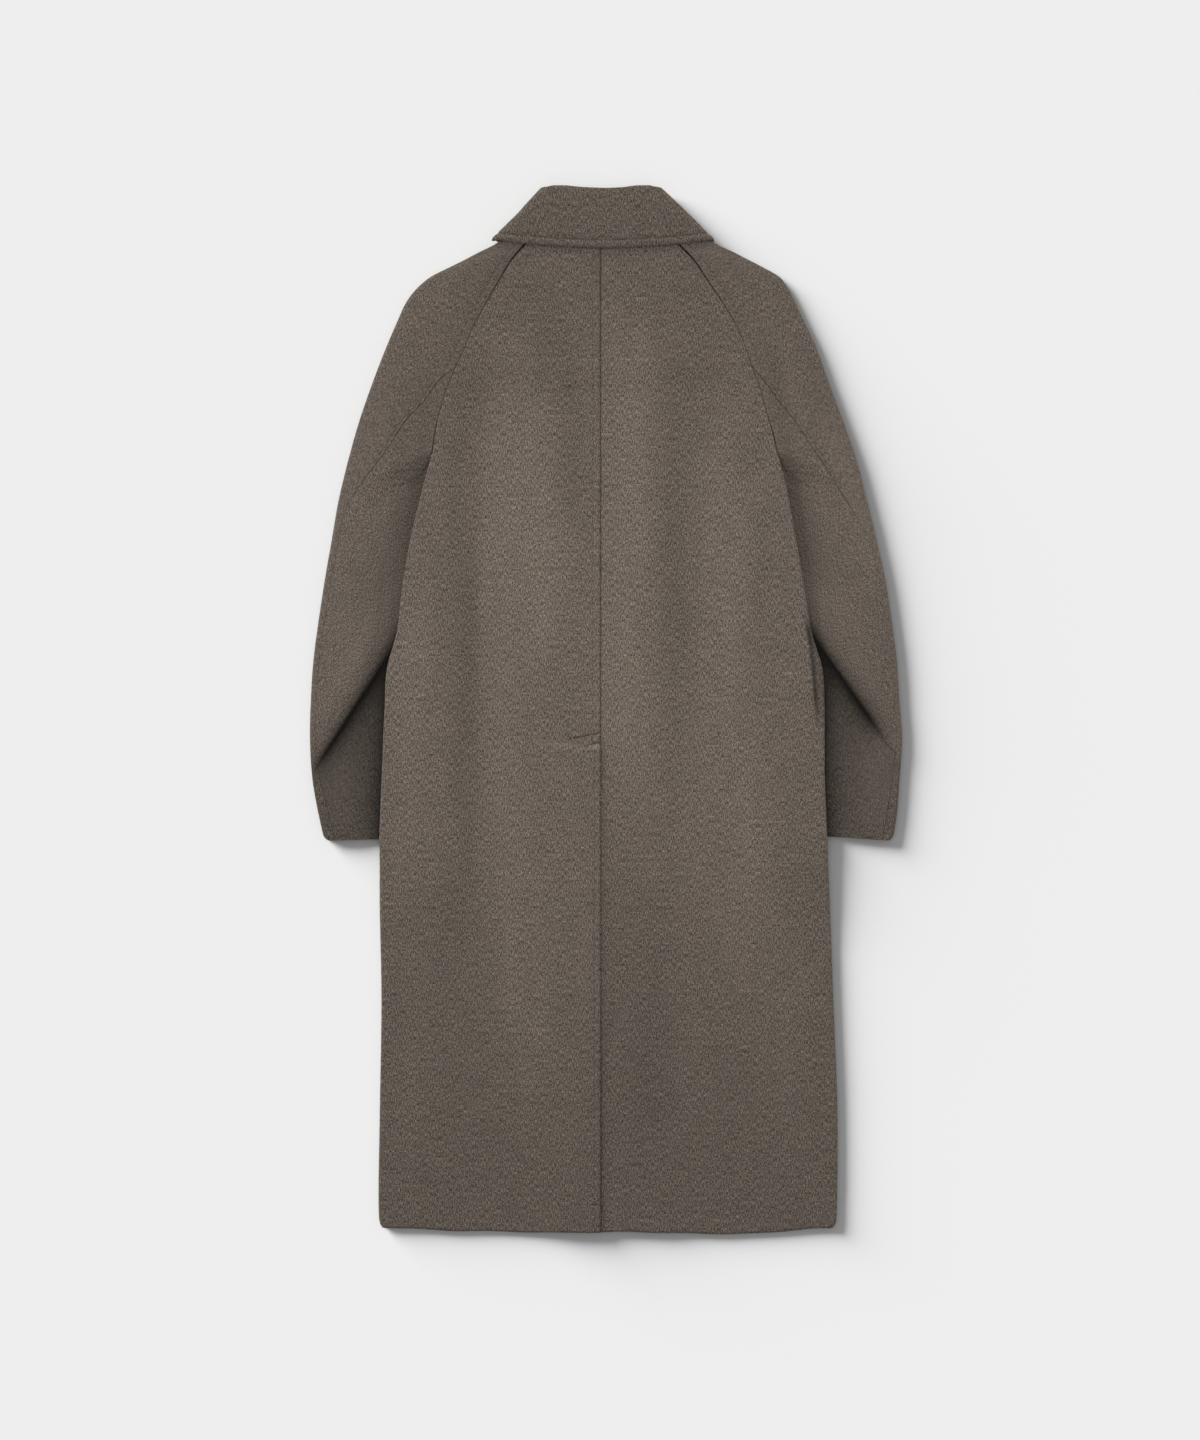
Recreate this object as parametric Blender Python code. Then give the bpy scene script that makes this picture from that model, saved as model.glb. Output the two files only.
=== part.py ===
"""Balmacaan coat laid flat with its back up: a shell of cut wool pieces, each a wall one cloth thick.

Lengths are millimetres here and are turned to metres when a mesh is made. X runs to the wearer's right as
seen from the back, Y runs from the hem to the collar, and the surface that the coat lies on is Z = 0.
"""

import math

import bpy
import numpy as np

MM = 0.001
CLOTH = 2.4
GAP = 0.4
SEAM = 0.15
LAYER = CLOTH + GAP

# Levels of the outer faces of the stacked layers
SLEEVE_STACK = 2.0 * LAYER
PLAIN_STACK = 2.0 * CLOTH + GAP
EDGE_LOFT = 7.0
NECK_STACK = 4.0 * CLOTH + 3.0 * GAP

HEM_Y = -600.0
UNDERARM_Y = 219.0
SPLIT_Y = 300.0
EMERGE_Y = 281.0
TUCK_Y = 170.0
CUFF_Y = -150.0
CENTRE_X = -6.0
VENT_TOP_Y = -37.0
VENT_LAP = 34.0
ALLOWANCE = 13.0
FRONT_LAP = 36.0

# Edge of the back: the side fold from the hem up to the sleeve, then the raglan seam up to the neck
BACK_EDGE = (
    # y, left, right
    (-596, 261, 265),
    (-585, 262, 266),
    (-470, 261, 267),
    (-330, 259, 262),
    (-218, 261, 258),
    (-147, 261, 255),
    (-68, 258, 252),
    (2, 255, 252),
    (50, 252, 249),
    (86, 242, 238),
    (140, 235, 229),
    (203, 224, 218),
    (265, 209, 206),
    (300, 200, 197),
    (320, 197, 192),
    (346, 191, 184),
    (369, 184, 178),
    (393, 174, 169),
    (419, 162, 160),
    (439, 154, 152),
    (465, 140, 137),
    (492, 125, 119),
    (523, 106, 98),
    (539, 92, 82),
    (553, 76, 68),
)

# Front raglan seam above the underarm and side seam below it, both on the side that lies down
FRONT_EDGE = (
    # y, x
    (-600, 300),
    (110, 300),
    (150, 200),
    (170, 176),
    (185, 168),
    (219, 164),
    (250, 161),
    (300, 152),
    (350, 138),
    (400, 118),
    (440, 98),
    (488, 70),
)

# Outer edge of the sleeves
OUTLINE = (
    # y, left, right
    (-151, 324, 330),
    (-120, 331, 335),
    (-80, 338, 338),
    (-34, 341, 341),
    (12, 340, 338),
    (58, 337, 335),
    (104, 331, 329),
    (150, 324, 322),
    (196, 316, 312),
    (242, 308, 301),
    (288, 297, 289),
    (334, 284, 273),
    (380, 268, 256),
    (426, 250, 239),
    (449, 240, 228),
    (472, 229, 217),
    (486, 218, 210),
    (500, 201, 199),
    (513, 175, 176),
    (527, 147, 148),
    (536, 129, 129),
    (550, 110, 110),
)

# Sleeve stations: the back seam or inner edge, the outline, and the front seam or inner edge below
SLEEVE = (
    # back_x, back_y, out_y, front_x, front_y, loft
    (76, 553, 550, 70, 488, 10.8),
    (92, 539, 536, 80, 470, 11.0),
    (106, 523, 518, 91, 450, 11.2),
    (122, 498, 501, 103, 430, 11.3),
    (135, 475, 482, 112, 412, 11.4),
    (146, 454, 457, 121, 393, 11.6),
    (156, 434, 428, 129, 374, 11.9),
    (165, 413, 402, 135, 357, 12.2),
    (174, 393, 372, 141, 340, 12.6),
    (186, 363, 332, 148, 315, 13.2),
    (197, 320, 290, 155, 290, 13.8),
    (200, 298, 250, 159, 270, 14.2),
    (201, 289, 230, 161, 262, 14.3),
    (203, 282, 205, 163, 252, 14.4),
    (192, 267, 165, 166, 240, 14.4),
    (185, 250, 115, 168, 230, 14.2),
    (180, 236, 70, 170, 222, 14.0),
    (177, 226, 20, 175, 216, 13.8),
    (175, 218, -20, 173, 210, 13.4),
)

# Forearm stations below the elbow fold
FOREARM = (
    # back_x, back_y, out_y, loft
    (170, 120, -88, 8.2),
    (170, 70, -97, 8.0),
    (172, 10, -108, 7.6),
    (174, -50, -120, 7.4),
    (176, -105, -134, 7.2),
    (178, -136, -143, 7.0),
    (179, -146, -150, 6.6),
)
CUFF_RISE = {-1: 0.0, 1: 6.0}

# Station at which the under piece of the sleeve starts, just below the end of the hind seam
UNDER_FROM = 8

# Seam that runs from the raglan seam out to the edge at the elbow
HIND_SEAM = (
    # y, left, right
    (395, 170, 165),
    (393, 174, 169),
    (381, 190, 180),
    (359, 206, 196),
    (334, 229, 216),
    (304, 248, 236),
    (269, 275, 259),
    (246, 291, 273),
    (219, 305, 290),
    (190, 316, 307),
    (160, 325, 318),
)

# Elbow fold: the edge of the upper sleeve that laps over the forearm
ELBOW = {
    -1: {"inner": (170, 190), "outer": (338, -72)},
    1: {"inner": (170, 184), "outer": (339, -58)},
}

# Steps across the elbow fold: distance towards the cuff and share of the drop
ELBOW_STEPS = (
    # along, drop
    (-16.0, 0.0),
    (-5.0, 0.06),
    (-1.0, 0.30),
    (1.5, 0.72),
    (5.0, 0.94),
    (14.0, 1.0),
)

# Soft folds down the back: ridges of a given height and half width along a leaning line
FOLDS = (
    # top_x, top_y, low_x, low_y, width, height
    (-120, 300, -95, -420, 34, 2.6),
    (-222, 120, -235, -200, 24, 1.8),
    (-55, 330, -70, 60, 30, 2.0),
    (38, 380, 40, -120, 30, 2.4),
    (128, 330, 150, -300, 40, 2.2),
    (90, -40, 100, -520, 42, 1.8),
    (-190, -120, -215, -520, 36, 1.6),
)

# Half of the collar from the front edge, which lies down, round the tip to the centre back
COLLAR = (
    # neck_x, neck_y, roll_x, roll_y, fall_x, fall_y, turn
    (7, 453, 9, 492, 14, 464, 180.0),
    (24, 464, 24, 506, 36, 438, 180.0),
    (44, 478, 38, 527, 60, 424, 180.0),
    (64, 488, 50, 552, 86, 462, 180.0),
    (81, 514, 62, 574, 104, 505, 180.0),
    (88, 525, 67, 583, 112, 532, 180.0),
    (92, 533, 69, 588, 118, 541, 158.0),
    (95, 540, 71, 591, 121, 543, 132.0),
    (97, 546, 71, 593, 122, 544, 104.0),
    (98, 552, 71, 595, 122, 543, 70.0),
    (96, 555, 71, 596, 120, 543, 40.0),
    (90, 556, 70, 598, 116, 543, 12.0),
    (78, 558, 66, 600, 104, 543, 0.0),
    (56, 561, 50, 601, 74, 540, 0.0),
    (28, 562, 26, 600, 36, 536, 0.0),
    (0, 562, 0, 600, 0, 533, 0.0),
)
# The fall of the collar lies a little wider on the left
COLLAR_SPREAD = {-1: 6.0, 1: 0.0}
STAND_LEVEL = LAYER
FALL_LEVEL = 2.0 * LAYER
COLLAR_MID = FALL_LEVEL + 0.5 * CLOTH
ROLL_ANGLES = (0.0, 45.0, 90.0, 135.0, 180.0)
TURN_ANGLES = (90.0, 60.0, 30.0, 0.0, -30.0, -60.0, -90.0)


def cloth(name, colour):
    """Milled wool coating: matt, with the taupe of the body cloth."""
    material = bpy.data.materials.new(name)
    material.use_nodes = True
    shader = material.node_tree.nodes["Principled BSDF"]
    shader.inputs["Base Color"].default_value = (*colour, 1.0)
    shader.inputs["Roughness"].default_value = 0.95
    shader.inputs["Metallic"].default_value = 0.0
    return material


def column(table, key):
    """One column of a table as a smooth function of its first column."""
    rows = np.array(sorted(table), float)
    at, value = rows[:, 0], rows[:, key]
    slope = np.gradient(value, at)

    def read(y):
        y = min(max(y, at[0]), at[-1])
        i = int(np.clip(np.searchsorted(at, y) - 1, 0, len(at) - 2))
        step = at[i + 1] - at[i]
        t = (y - at[i]) / step
        low, high = value[i], value[i + 1]
        limit = 3.0 * abs(high - low) / step
        start = float(np.clip(slope[i], -limit, limit))
        end = float(np.clip(slope[i + 1], -limit, limit))
        flat = (2 * t**3 - 3 * t**2 + 1) * low + (3 * t**2 - 2 * t**3) * high
        return flat + step * ((t**3 - 2 * t**2 + t) * start + (t**3 - t**2) * end)

    return read


def ease(value):
    """Smooth step from 0 to 1."""
    t = min(max(value, 0.0), 1.0)
    return t * t * (3.0 - 2.0 * t)


back_edge = {-1: column(BACK_EDGE, 1), 1: column(BACK_EDGE, 2)}
front_seam = column(FRONT_EDGE, 1)
outline = {-1: column(OUTLINE, 1), 1: column(OUTLINE, 2)}
hind_seam = {-1: column(HIND_SEAM, 1), 1: column(HIND_SEAM, 2)}


def front_edge(y, side):
    """Edge of the front: the side seam, inside the turned edge of the back, then the front raglan seam."""
    return min(front_seam(y), back_edge[side](y) - ALLOWANCE - 4.0 * SEAM)


def inner_edge(y):
    """Inner edge of the sleeve under the body, measured from the centre."""
    lower = 177.0 - 7.0 * ease((UNDERARM_Y - y) / 60.0) + 9.0 * ease((60.0 - y) / 210.0)
    return lower + 20.0 * ease((y - UNDERARM_Y) / 90.0)


def over_sleeve(x, y, margin, top):
    """Share of the height of the sleeve that lies under the body at a place."""
    across = ease((abs(x) - inner_edge(y) + margin + 15.0) / 10.0)
    below_arm = ease((top - y) / 22.0)
    above_cuff = ease((y - CUFF_Y + 24.0 + margin) / 20.0)
    return across * below_arm * above_cuff


def over_collar(x, y, margin=0.0):
    """Share of the height of the collar front that lies under the coat at a place."""
    side = ease((166.0 + margin - abs(x)) / 22.0)
    return side * ease((y - 400.0 + margin) / (18.0 + 0.5 * margin))


def relief(x, y):
    """Height of the soft folds of the back."""
    rise = 0.0
    for top_x, top_y, low_x, low_y, width, height in FOLDS:
        along = (top_y - y) / (top_y - low_y)
        middle = top_x + (low_x - top_x) * along
        ends = ease((along + 0.25) / 0.4) * ease((1.2 - along) / 0.35)
        rise += height * ends * math.exp(-(((x - middle) / width) ** 2))
    return rise


def seam_height(y):
    """Height of the raglan seam above the surface below."""
    return NECK_STACK + 0.6 * ease((470.0 - y) / 100.0)


def back_height(x, y, side):
    """Outer face of the back."""
    edge = back_edge[side](y)
    near = ease((abs(x) - edge + 90.0) / 90.0)
    under = max(SLEEVE_STACK * over_sleeve(x, y, 16.0, 380.0), LAYER * over_collar(x, y, 36.0))
    lapped = LAYER * ease((95.0 - abs(x)) / 36.0)
    vent = (LAYER + GAP) * ease((x + 82.0) / 24.0) * ease((VENT_TOP_Y - y) / 22.0) if side < 0 else 0.0
    low = under + lapped + vent + PLAIN_STACK + 0.5
    upper = ease((y - SPLIT_Y + 40.0) / 60.0)
    edge_height = max(low + 1.0, EDGE_LOFT) * (1 - upper) + seam_height(y) * upper
    mixed = (low + relief(x, y)) * (1 - near) + edge_height * near
    neck = ease((y - 470.0) / 70.0)
    return max(mixed, low) * (1 - neck) + NECK_STACK * neck


def lower_height(x, y):
    """Under face of the layer that lies down, front or sleeve."""
    return (LAYER + SEAM) * over_collar(x, y)


def front_height(x, y):
    """Under face of the front, which climbs over the sleeve tucked below it."""
    return max(lower_height(x, y), SLEEVE_STACK * over_sleeve(x, y, 0.0, UNDERARM_Y - 10.0))


def normals(grid):
    """Unit normals of a grid of points, from the differences along its two directions."""
    down = np.gradient(grid, axis=0)
    across = np.gradient(grid, axis=1)
    found = np.cross(across, down)
    return found / np.maximum(np.linalg.norm(found, axis=2, keepdims=True), 1e-9)


def wall(name, grid, material):
    """Closes a grid of outer points into a wall one cloth thick."""
    grid = np.array(grid, float)
    rows, cols = grid.shape[:2]
    inner = grid - CLOTH * normals(grid)
    points = np.vstack((grid.reshape(-1, 3), inner.reshape(-1, 3))) * MM
    below = rows * cols

    def at(r, c):
        return r * cols + c

    faces = []
    for r in range(rows - 1):
        for c in range(cols - 1):
            quad = (at(r, c), at(r, c + 1), at(r + 1, c + 1), at(r + 1, c))
            faces.append(quad)
            faces.append(tuple(i + below for i in reversed(quad)))
    rim = [at(0, c) for c in range(cols)] + [at(r, cols - 1) for r in range(1, rows)]
    rim += [at(rows - 1, c) for c in range(cols - 2, -1, -1)] + [at(r, 0) for r in range(rows - 2, 0, -1)]
    for here, after in zip(rim, rim[1:] + rim[:1]):
        faces.append((after, here, here + below, after + below))
    mesh = bpy.data.meshes.new(name)
    mesh.from_pydata([tuple(p) for p in points], [], faces)
    mesh.validate()
    mesh.shade_smooth()
    mesh.set_sharp_from_angle(angle=math.radians(50.0))
    mesh.materials.append(material)
    piece = bpy.data.objects.new(name, mesh)
    bpy.context.collection.objects.link(piece)
    return piece


def stretches(*marks):
    """Evenly spaced values between marks, each mark given as a value and the steps that lead to it."""
    values = [marks[0]]
    for stop, steps in marks[1:]:
        start = values[-1]
        values += [start + (stop - start) * (i + 1) / steps for i in range(steps)]
    return values


BODY_ROWS = stretches(-600.0, (-586, 1), (-190, 6), (-168, 2), (-146, 2), (-88, 1), (-60, 1), (-37, 1),
                      (40, 2), (175, 4), (227, 4))
BACK_ROWS = stretches(*BODY_ROWS[:1], *((y, 1) for y in BODY_ROWS[1:]), (330, 5), (520, 6), (555, 2))


def neck_y(x):
    """Back neck seam: level at the centre and falling to the shoulder."""
    return 561.0 - 9.0 * ease((abs(x) - 20.0) / 70.0)


def hem_y(x):
    """Hem: nearly level, a little longer at the right."""
    return HEM_Y - 2.0 * ease((x + 100.0) / 250.0) + 5.0 * ease((abs(x) - 170.0) / 85.0)


def back(name, side, material):
    """Half of the back: flat from the centre seam out, turned under along its side."""
    grid = []
    for y in BACK_ROWS:
        edge = back_edge[side](y) - 2.0 * SEAM
        # Below the vent's top the right half runs on under the left half
        underlap = VENT_LAP * ease((VENT_TOP_Y - 22.0 - y) / 24.0) if side > 0 else 0.0
        start = side * CENTRE_X + SEAM - underlap
        height = back_height(side * edge, y, side)
        floor = front_height(side * (edge - ALLOWANCE), y) if y < TUCK_Y else height - PLAIN_STACK
        radius = 0.5 * (height - floor)
        flat = edge - radius
        row = []
        for step in range(11):
            x = start + (flat - start) * step / 10.0
            row.append((x, back_height(side * x, y, side)))
        for angle in TURN_ANGLES[1:]:
            turn = math.radians(angle)
            row.append((flat + radius * math.cos(turn), floor + radius + radius * math.sin(turn)))
        row.append((edge - ALLOWANCE, floor))
        line = []
        for x, z in row:
            place = side * x
            low, high = hem_y(place), neck_y(place)
            share = (y - BACK_ROWS[0]) / (BACK_ROWS[-1] - BACK_ROWS[0])
            end = ease((share - 0.9) / 0.1)
            fitted = y + (low - BACK_ROWS[0]) * (1 - share) ** 8 + (high - BACK_ROWS[-1]) * end
            line.append((place, fitted, z))
        grid.append(line)
    if side > 0:
        grid = [list(reversed(line)) for line in grid]
    return wall(name, grid[::-1], material)


FRONT_ROWS = stretches(*BODY_ROWS[:1], *((y, 1) for y in BODY_ROWS[1:]),
                       (350, 3), (400, 2), (418, 2), (488, 4))


def front_neck(x):
    """Front neck seam, a curve that drops to the centre."""
    return 444.0 + 43.0 * ease(abs(x) / 72.0)


def front(name, side, material):
    """Half of the front, which lies down: plain, with the left edge lapped over the right."""
    grid = []
    for y in FRONT_ROWS:
        edge = front_edge(y, side) - SEAM
        inner = inner_edge(y)
        # The columns follow the step where the front climbs over the sleeve
        near = min(inner - 15.0, edge - 9.0)
        far = min(inner - 5.0, edge - 4.0)
        # The left front laps over the right at the centre, so the right one is the upper there
        far_side = FRONT_LAP + 3.0
        marks = [-FRONT_LAP, 0.0, far_side, far_side + 14.0]
        marks += [marks[-1] + (near - marks[-1]) * i / 2.0 for i in (1, 2)]
        marks += [near + (far - near) * i / 3.0 for i in range(1, 4)]
        marks += [far + (edge - far) * i / 2.0 for i in range(1, 3)]
        line = []
        for x in marks:
            share = (y - FRONT_ROWS[0]) / (FRONT_ROWS[-1] - FRONT_ROWS[0])
            end = ease((share - 0.85) / 0.15)
            fitted = y + (front_neck(x) - FRONT_ROWS[-1]) * end
            lifted = LAYER * ease((far_side + 14.0 - x) / 14.0) if side > 0 else 0.0
            line.append((side * x, fitted, front_height(side * x, y) + lifted))
        grid.append(line)
    if side < 0:
        grid = [list(reversed(line)) for line in grid]
    return wall(name, grid[::-1], material)


def elbow_rows(side):
    """Stations along the elbow fold, from the upper sleeve down onto the forearm."""
    inner, outer = (np.array(ELBOW[side][end], float) for end in ("inner", "outer"))
    rows = []
    for shift, drop in ELBOW_STEPS:
        a = inner - (0.0, 1.2 * shift)
        b = outer - (0.0, 0.6 * shift)
        rows.append((a[0], a[1], b[0], b[1], a[0], a[1], 13.0 - 5.0 * drop, drop))
    return rows


def sleeve_rows(side):
    """All stations of a sleeve from the neck to the cuff."""
    rows = []
    for ax, ay, by, fx, fy, loft in SLEEVE:
        if ay > EMERGE_Y:
            ax = back_edge[side](ay) + SEAM
        if fy > UNDERARM_Y:
            fx = front_edge(fy, side) + 1.0
        rows.append((ax, ay, outline[side](by), by, fx, fy, loft, 0.0))
    rows += elbow_rows(side)
    for ax, ay, by, loft in FOREARM:
        rise = CUFF_RISE[side] * ease((60.0 - ay) / 200.0)
        rows.append((ax, ay + rise, outline[side](by), by, ax, ay + rise, loft, 1.0))
    return rows


def sleeve_height(u, row, side):
    """Outer face of the upper wall of a sleeve at a share of the way from its inner edge."""
    ax, ay, bx, by, _, _, loft, drop = row
    x = ax + (bx - ax) * u
    y = ay + (by - ay) * u
    if ay > SPLIT_Y:
        start = seam_height(ay)
    else:
        hidden = PLAIN_STACK
        start = hidden + (seam_height(SPLIT_Y) - hidden) * ease((ay - EMERGE_Y) / (SPLIT_Y - EMERGE_Y))
    rim = EDGE_LOFT + 0.6 + lower_height(bx, by)
    base = start + (rim - start) * ease(u)
    crown = max(0.0, loft - rim) * math.sin(math.pi * min(u, 1.0) ** 1.15) ** 0.8
    height = base + crown
    if ay < EMERGE_Y:
        clear = ease((x - back_edge[side](y)) / 32.0)
        height = PLAIN_STACK + (height - PLAIN_STACK) * clear
    return height


def edge_share(row, side):
    """Share of the way along a station where it comes out from under the body."""
    ax, ay, bx, by = row[:4]
    for step in range(1, 201):
        u = step / 200.0
        if ax + (bx - ax) * u > back_edge[side](ay + (by - ay) * u):
            return max(u, 0.04)
    return 0.04


def seam_share(row, side):
    """Share of the way along a station where the hind seam crosses it."""
    ax, ay, bx, by = row[:4]
    length = math.hypot(bx - ax, by - ay)
    last = 1.0 - 12.0 / length
    for step in range(201):
        u = step / 200.0
        x, y = ax + (bx - ax) * u, ay + (by - ay) * u
        if y < HIND_SEAM[-1][0]:
            return last
        if x > hind_seam[side](y) and y < HIND_SEAM[0][0]:
            return min(max(u, 0.04), last)
    return last


def station(row, side, from_u, to_u, count):
    """Points on the upper wall of a sleeve station, from the inner edge outwards."""
    points = []
    for i in range(count + 1):
        u = from_u + (to_u - from_u) * i / count
        x = row[0] + (row[2] - row[0]) * u
        y = row[1] + (row[3] - row[1]) * u
        points.append((side * x, y, sleeve_height(u, row, side)))
    return points


def turned(row, side):
    """Points round the outer edge of a station and back along the wall that lies down."""
    ax, ay, bx, by, fx, fy = row[:6]
    length = math.hypot(bx - ax, by - ay)
    out = np.array(((bx - ax) / length, (by - ay) / length))
    floor = lower_height(side * bx, by)
    top = sleeve_height(1.0, row, side)
    radius = 0.5 * (top - floor)
    flat = np.array((bx, by)) - out * radius
    points = []
    for angle in TURN_ANGLES:
        turn = math.radians(angle)
        place = flat + out * radius * math.cos(turn)
        points.append((side * place[0], place[1], floor + radius + radius * math.sin(turn)))
    for step in range(1, 7):
        place = flat + (np.array((fx + 2.0 * SEAM, fy)) - flat) * step / 6.0
        points.append((side * place[0], place[1], lower_height(side * place[0], place[1])))
    return points, 1.0 - radius / length


def sleeve(prefix, side, material):
    """One sleeve in two pieces: the upper piece round the outer edge, and the under piece."""
    upper, under = [], []
    for index, row in enumerate(sleeve_rows(side)):
        around, last = turned(row, side)
        length = math.hypot(row[2] - row[0], row[3] - row[1])
        seam = seam_share(row, side) if index >= UNDER_FROM else 0.0
        gap = 2.0 * SEAM / length
        upper.append(station(row, side, seam + gap, last, 5)[:-1] + around)
        if index >= UNDER_FROM:
            clear = min(edge_share(row, side), 0.5 * seam)
            hidden = station(row, side, gap, clear, 3)
            under.append(hidden[:-1] + station(row, side, clear, seam - gap, 6))
    for name, grid in ((prefix + "_upper", upper), (prefix + "_under", under)):
        if side > 0:
            grid = [list(reversed(line)) for line in grid]
        wall(name, grid, material)


def collar(name, material):
    """One collar piece: a stand from the neck seam to the roll, and a fall to the outer edge."""
    half = [tuple(row) for row in COLLAR]
    around = [(*row, -1) for row in half] + [(*row, 1) for row in reversed(half[:-1])]
    grid = []
    for neck_x, neck_at, roll_x, roll_y, fall_x, fall_y, turn, side in around:
        swing = math.radians(turn)
        corners = ((neck_x, neck_at), (roll_x, roll_y), (fall_x, fall_y))
        neck, roll, fall = (np.array(corner, float) for corner in corners)
        out = np.array((0.80, 0.60)) * math.sin(swing)
        up = (roll - neck) / np.linalg.norm(roll - neck)
        half_wall = 0.5 * CLOTH
        section = [(neck + up * SEAM, STAND_LEVEL - half_wall)]
        section.append((0.5 * (neck + roll), STAND_LEVEL - half_wall))
        for angle in ROLL_ANGLES:
            bend = math.radians(angle)
            radius = 0.5 * LAYER + half_wall
            place = roll - up * radius + up * radius * math.sin(bend)
            section.append((place, STAND_LEVEL + 0.5 * LAYER - radius * math.cos(bend)))
        for share in (0.35, 0.7, 1.0):
            section.append((roll + (fall - roll) * share, FALL_LEVEL + half_wall))
        line = []
        for place, level in section:
            flat = place + out * level
            x = flat[0] + COLLAR_SPREAD[side] * ease((flat[0] - neck[0]) / 30.0) * ease(math.cos(swing) * 3.0)
            line.append((side * x, flat[1], COLLAR_MID + level * math.cos(swing)))
        grid.append(line)
    return wall(name, grid, material)


def build():
    for thing in list(bpy.data.objects):
        bpy.data.objects.remove(thing, do_unlink=True)
    body = cloth("taupe_wool_body", (0.155, 0.129, 0.108))
    arm = cloth("taupe_wool_sleeve", (0.150, 0.125, 0.105))
    neck = cloth("taupe_wool_collar", (0.140, 0.115, 0.098))
    back("back_left", -1, body)
    back("back_right", 1, body)
    front("front_left", -1, body)
    front("front_right", 1, body)
    sleeve("sleeve_left", -1, arm)
    sleeve("sleeve_right", 1, arm)
    collar("collar", neck)


build()
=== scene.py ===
"""Dresses the balmacaan coat, laid flat with its back up: milled melange wool, sewn seams, soft folds.

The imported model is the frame. Lengths below are millimetres and are turned to metres when a mesh is made.
"""

import math

import bpy
import numpy as np
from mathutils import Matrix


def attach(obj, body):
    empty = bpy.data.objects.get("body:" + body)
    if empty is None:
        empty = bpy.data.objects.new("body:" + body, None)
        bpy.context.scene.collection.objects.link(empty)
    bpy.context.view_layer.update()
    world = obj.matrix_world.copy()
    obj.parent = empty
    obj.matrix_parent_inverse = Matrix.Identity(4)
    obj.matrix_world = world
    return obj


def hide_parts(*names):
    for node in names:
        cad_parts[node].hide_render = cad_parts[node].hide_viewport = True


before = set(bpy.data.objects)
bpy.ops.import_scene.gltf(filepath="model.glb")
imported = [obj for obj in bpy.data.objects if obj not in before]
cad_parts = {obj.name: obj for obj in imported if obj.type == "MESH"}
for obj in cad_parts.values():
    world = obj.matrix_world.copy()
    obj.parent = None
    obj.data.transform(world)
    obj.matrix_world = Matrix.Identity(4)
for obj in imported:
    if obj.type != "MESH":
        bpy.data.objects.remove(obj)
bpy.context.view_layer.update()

MM = 0.001

# Thickness of the cloth, gap between two layers, half of the gap at a seam, and heights of stacked layers
CLOTH = 2.4
GAP = 0.4
SEAM = 0.15
LAYER = CLOTH + GAP
SLEEVE_STACK = 2.0 * LAYER
PLAIN_STACK = 2.0 * CLOTH + GAP
NECK_STACK = 4.0 * CLOTH + 3.0 * GAP
EDGE_LOFT = 7.0

# Places down the coat, seen from above with the collar up: x to the right and y to the collar
HEM_Y = -600.0
NECK_Y = 555.0
FRONT_TOP_Y = 488.0
UNDERARM_Y = 219.0
SPLIT_Y = 300.0
EMERGE_Y = 281.0
TUCK_Y = 170.0
CUFF_Y = -150.0
CENTRE_X = -6.0
VENT_TOP_Y = -37.0
VENT_LAP = 34.0
ALLOWANCE = 13.0
FRONT_LAP = 36.0

# How far the hem rolls down, how far a sewn side edge bows out, and the radii of the corners
HEM_ROLL = 1.1
SEWN_BOW = 0.45
HEM_CORNER = 8.0
CUFF_CORNER = 7.0

# Sewing: distances of the topstitching from its seam, and the thread, which sinks a little into the cloth
CENTRE_TOPSTITCH = 9.0
VENT_TOPSTITCH = 7.5
RAGLAN_TOPSTITCH = 10.0
HIND_TOPSTITCH = 6.5
COLLAR_TOPSTITCH = 10.0
STITCH_PITCH = 3.6
STITCH_LENGTH = 2.5
THREAD = 0.55
THREAD_DEPTH = 0.2
STITCH_SIZES = (("Pitch", STITCH_PITCH), ("Stitch length", STITCH_LENGTH), ("Thread", THREAD))

# Mesh steps
ROW_STEP = 4.2
HEM_STEPS = (0.0, 0.6, 1.3, 2.2, 3.4, 5.0)
SEAM_STEPS = (0.0, 0.45, 1.0, 1.8, 2.9, 4.4, 5.8, 6.8, 7.6, 8.4, 9.0, 9.6, 10.4, 11.6)
FULL_STEPS_WIDTH = 44.0
BACK_COLUMNS = 104
SLEEVE_COLUMNS = 46
SLEEVE_UNDERSIDE_COLUMNS = 30
TURN = np.radians(np.linspace(90.0, -90.0, 13))[None, 1:]
TACK_ROWS = (-51.0, -21.0, 0.8)
COLLAR_STEP = 3.0
COLLAR_ARC = 0.12
CUFF_STEPS = (0.8, 0.6, 0.4, 0.25, 0.1)
FRONT_ROWS = (
    # from_y, to_y, count
    (HEM_Y, -190, 30), (-186, -130, 14), (-120, 130, 26), (136, 230, 20), (240, FRONT_TOP_Y, 50),
)

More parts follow.
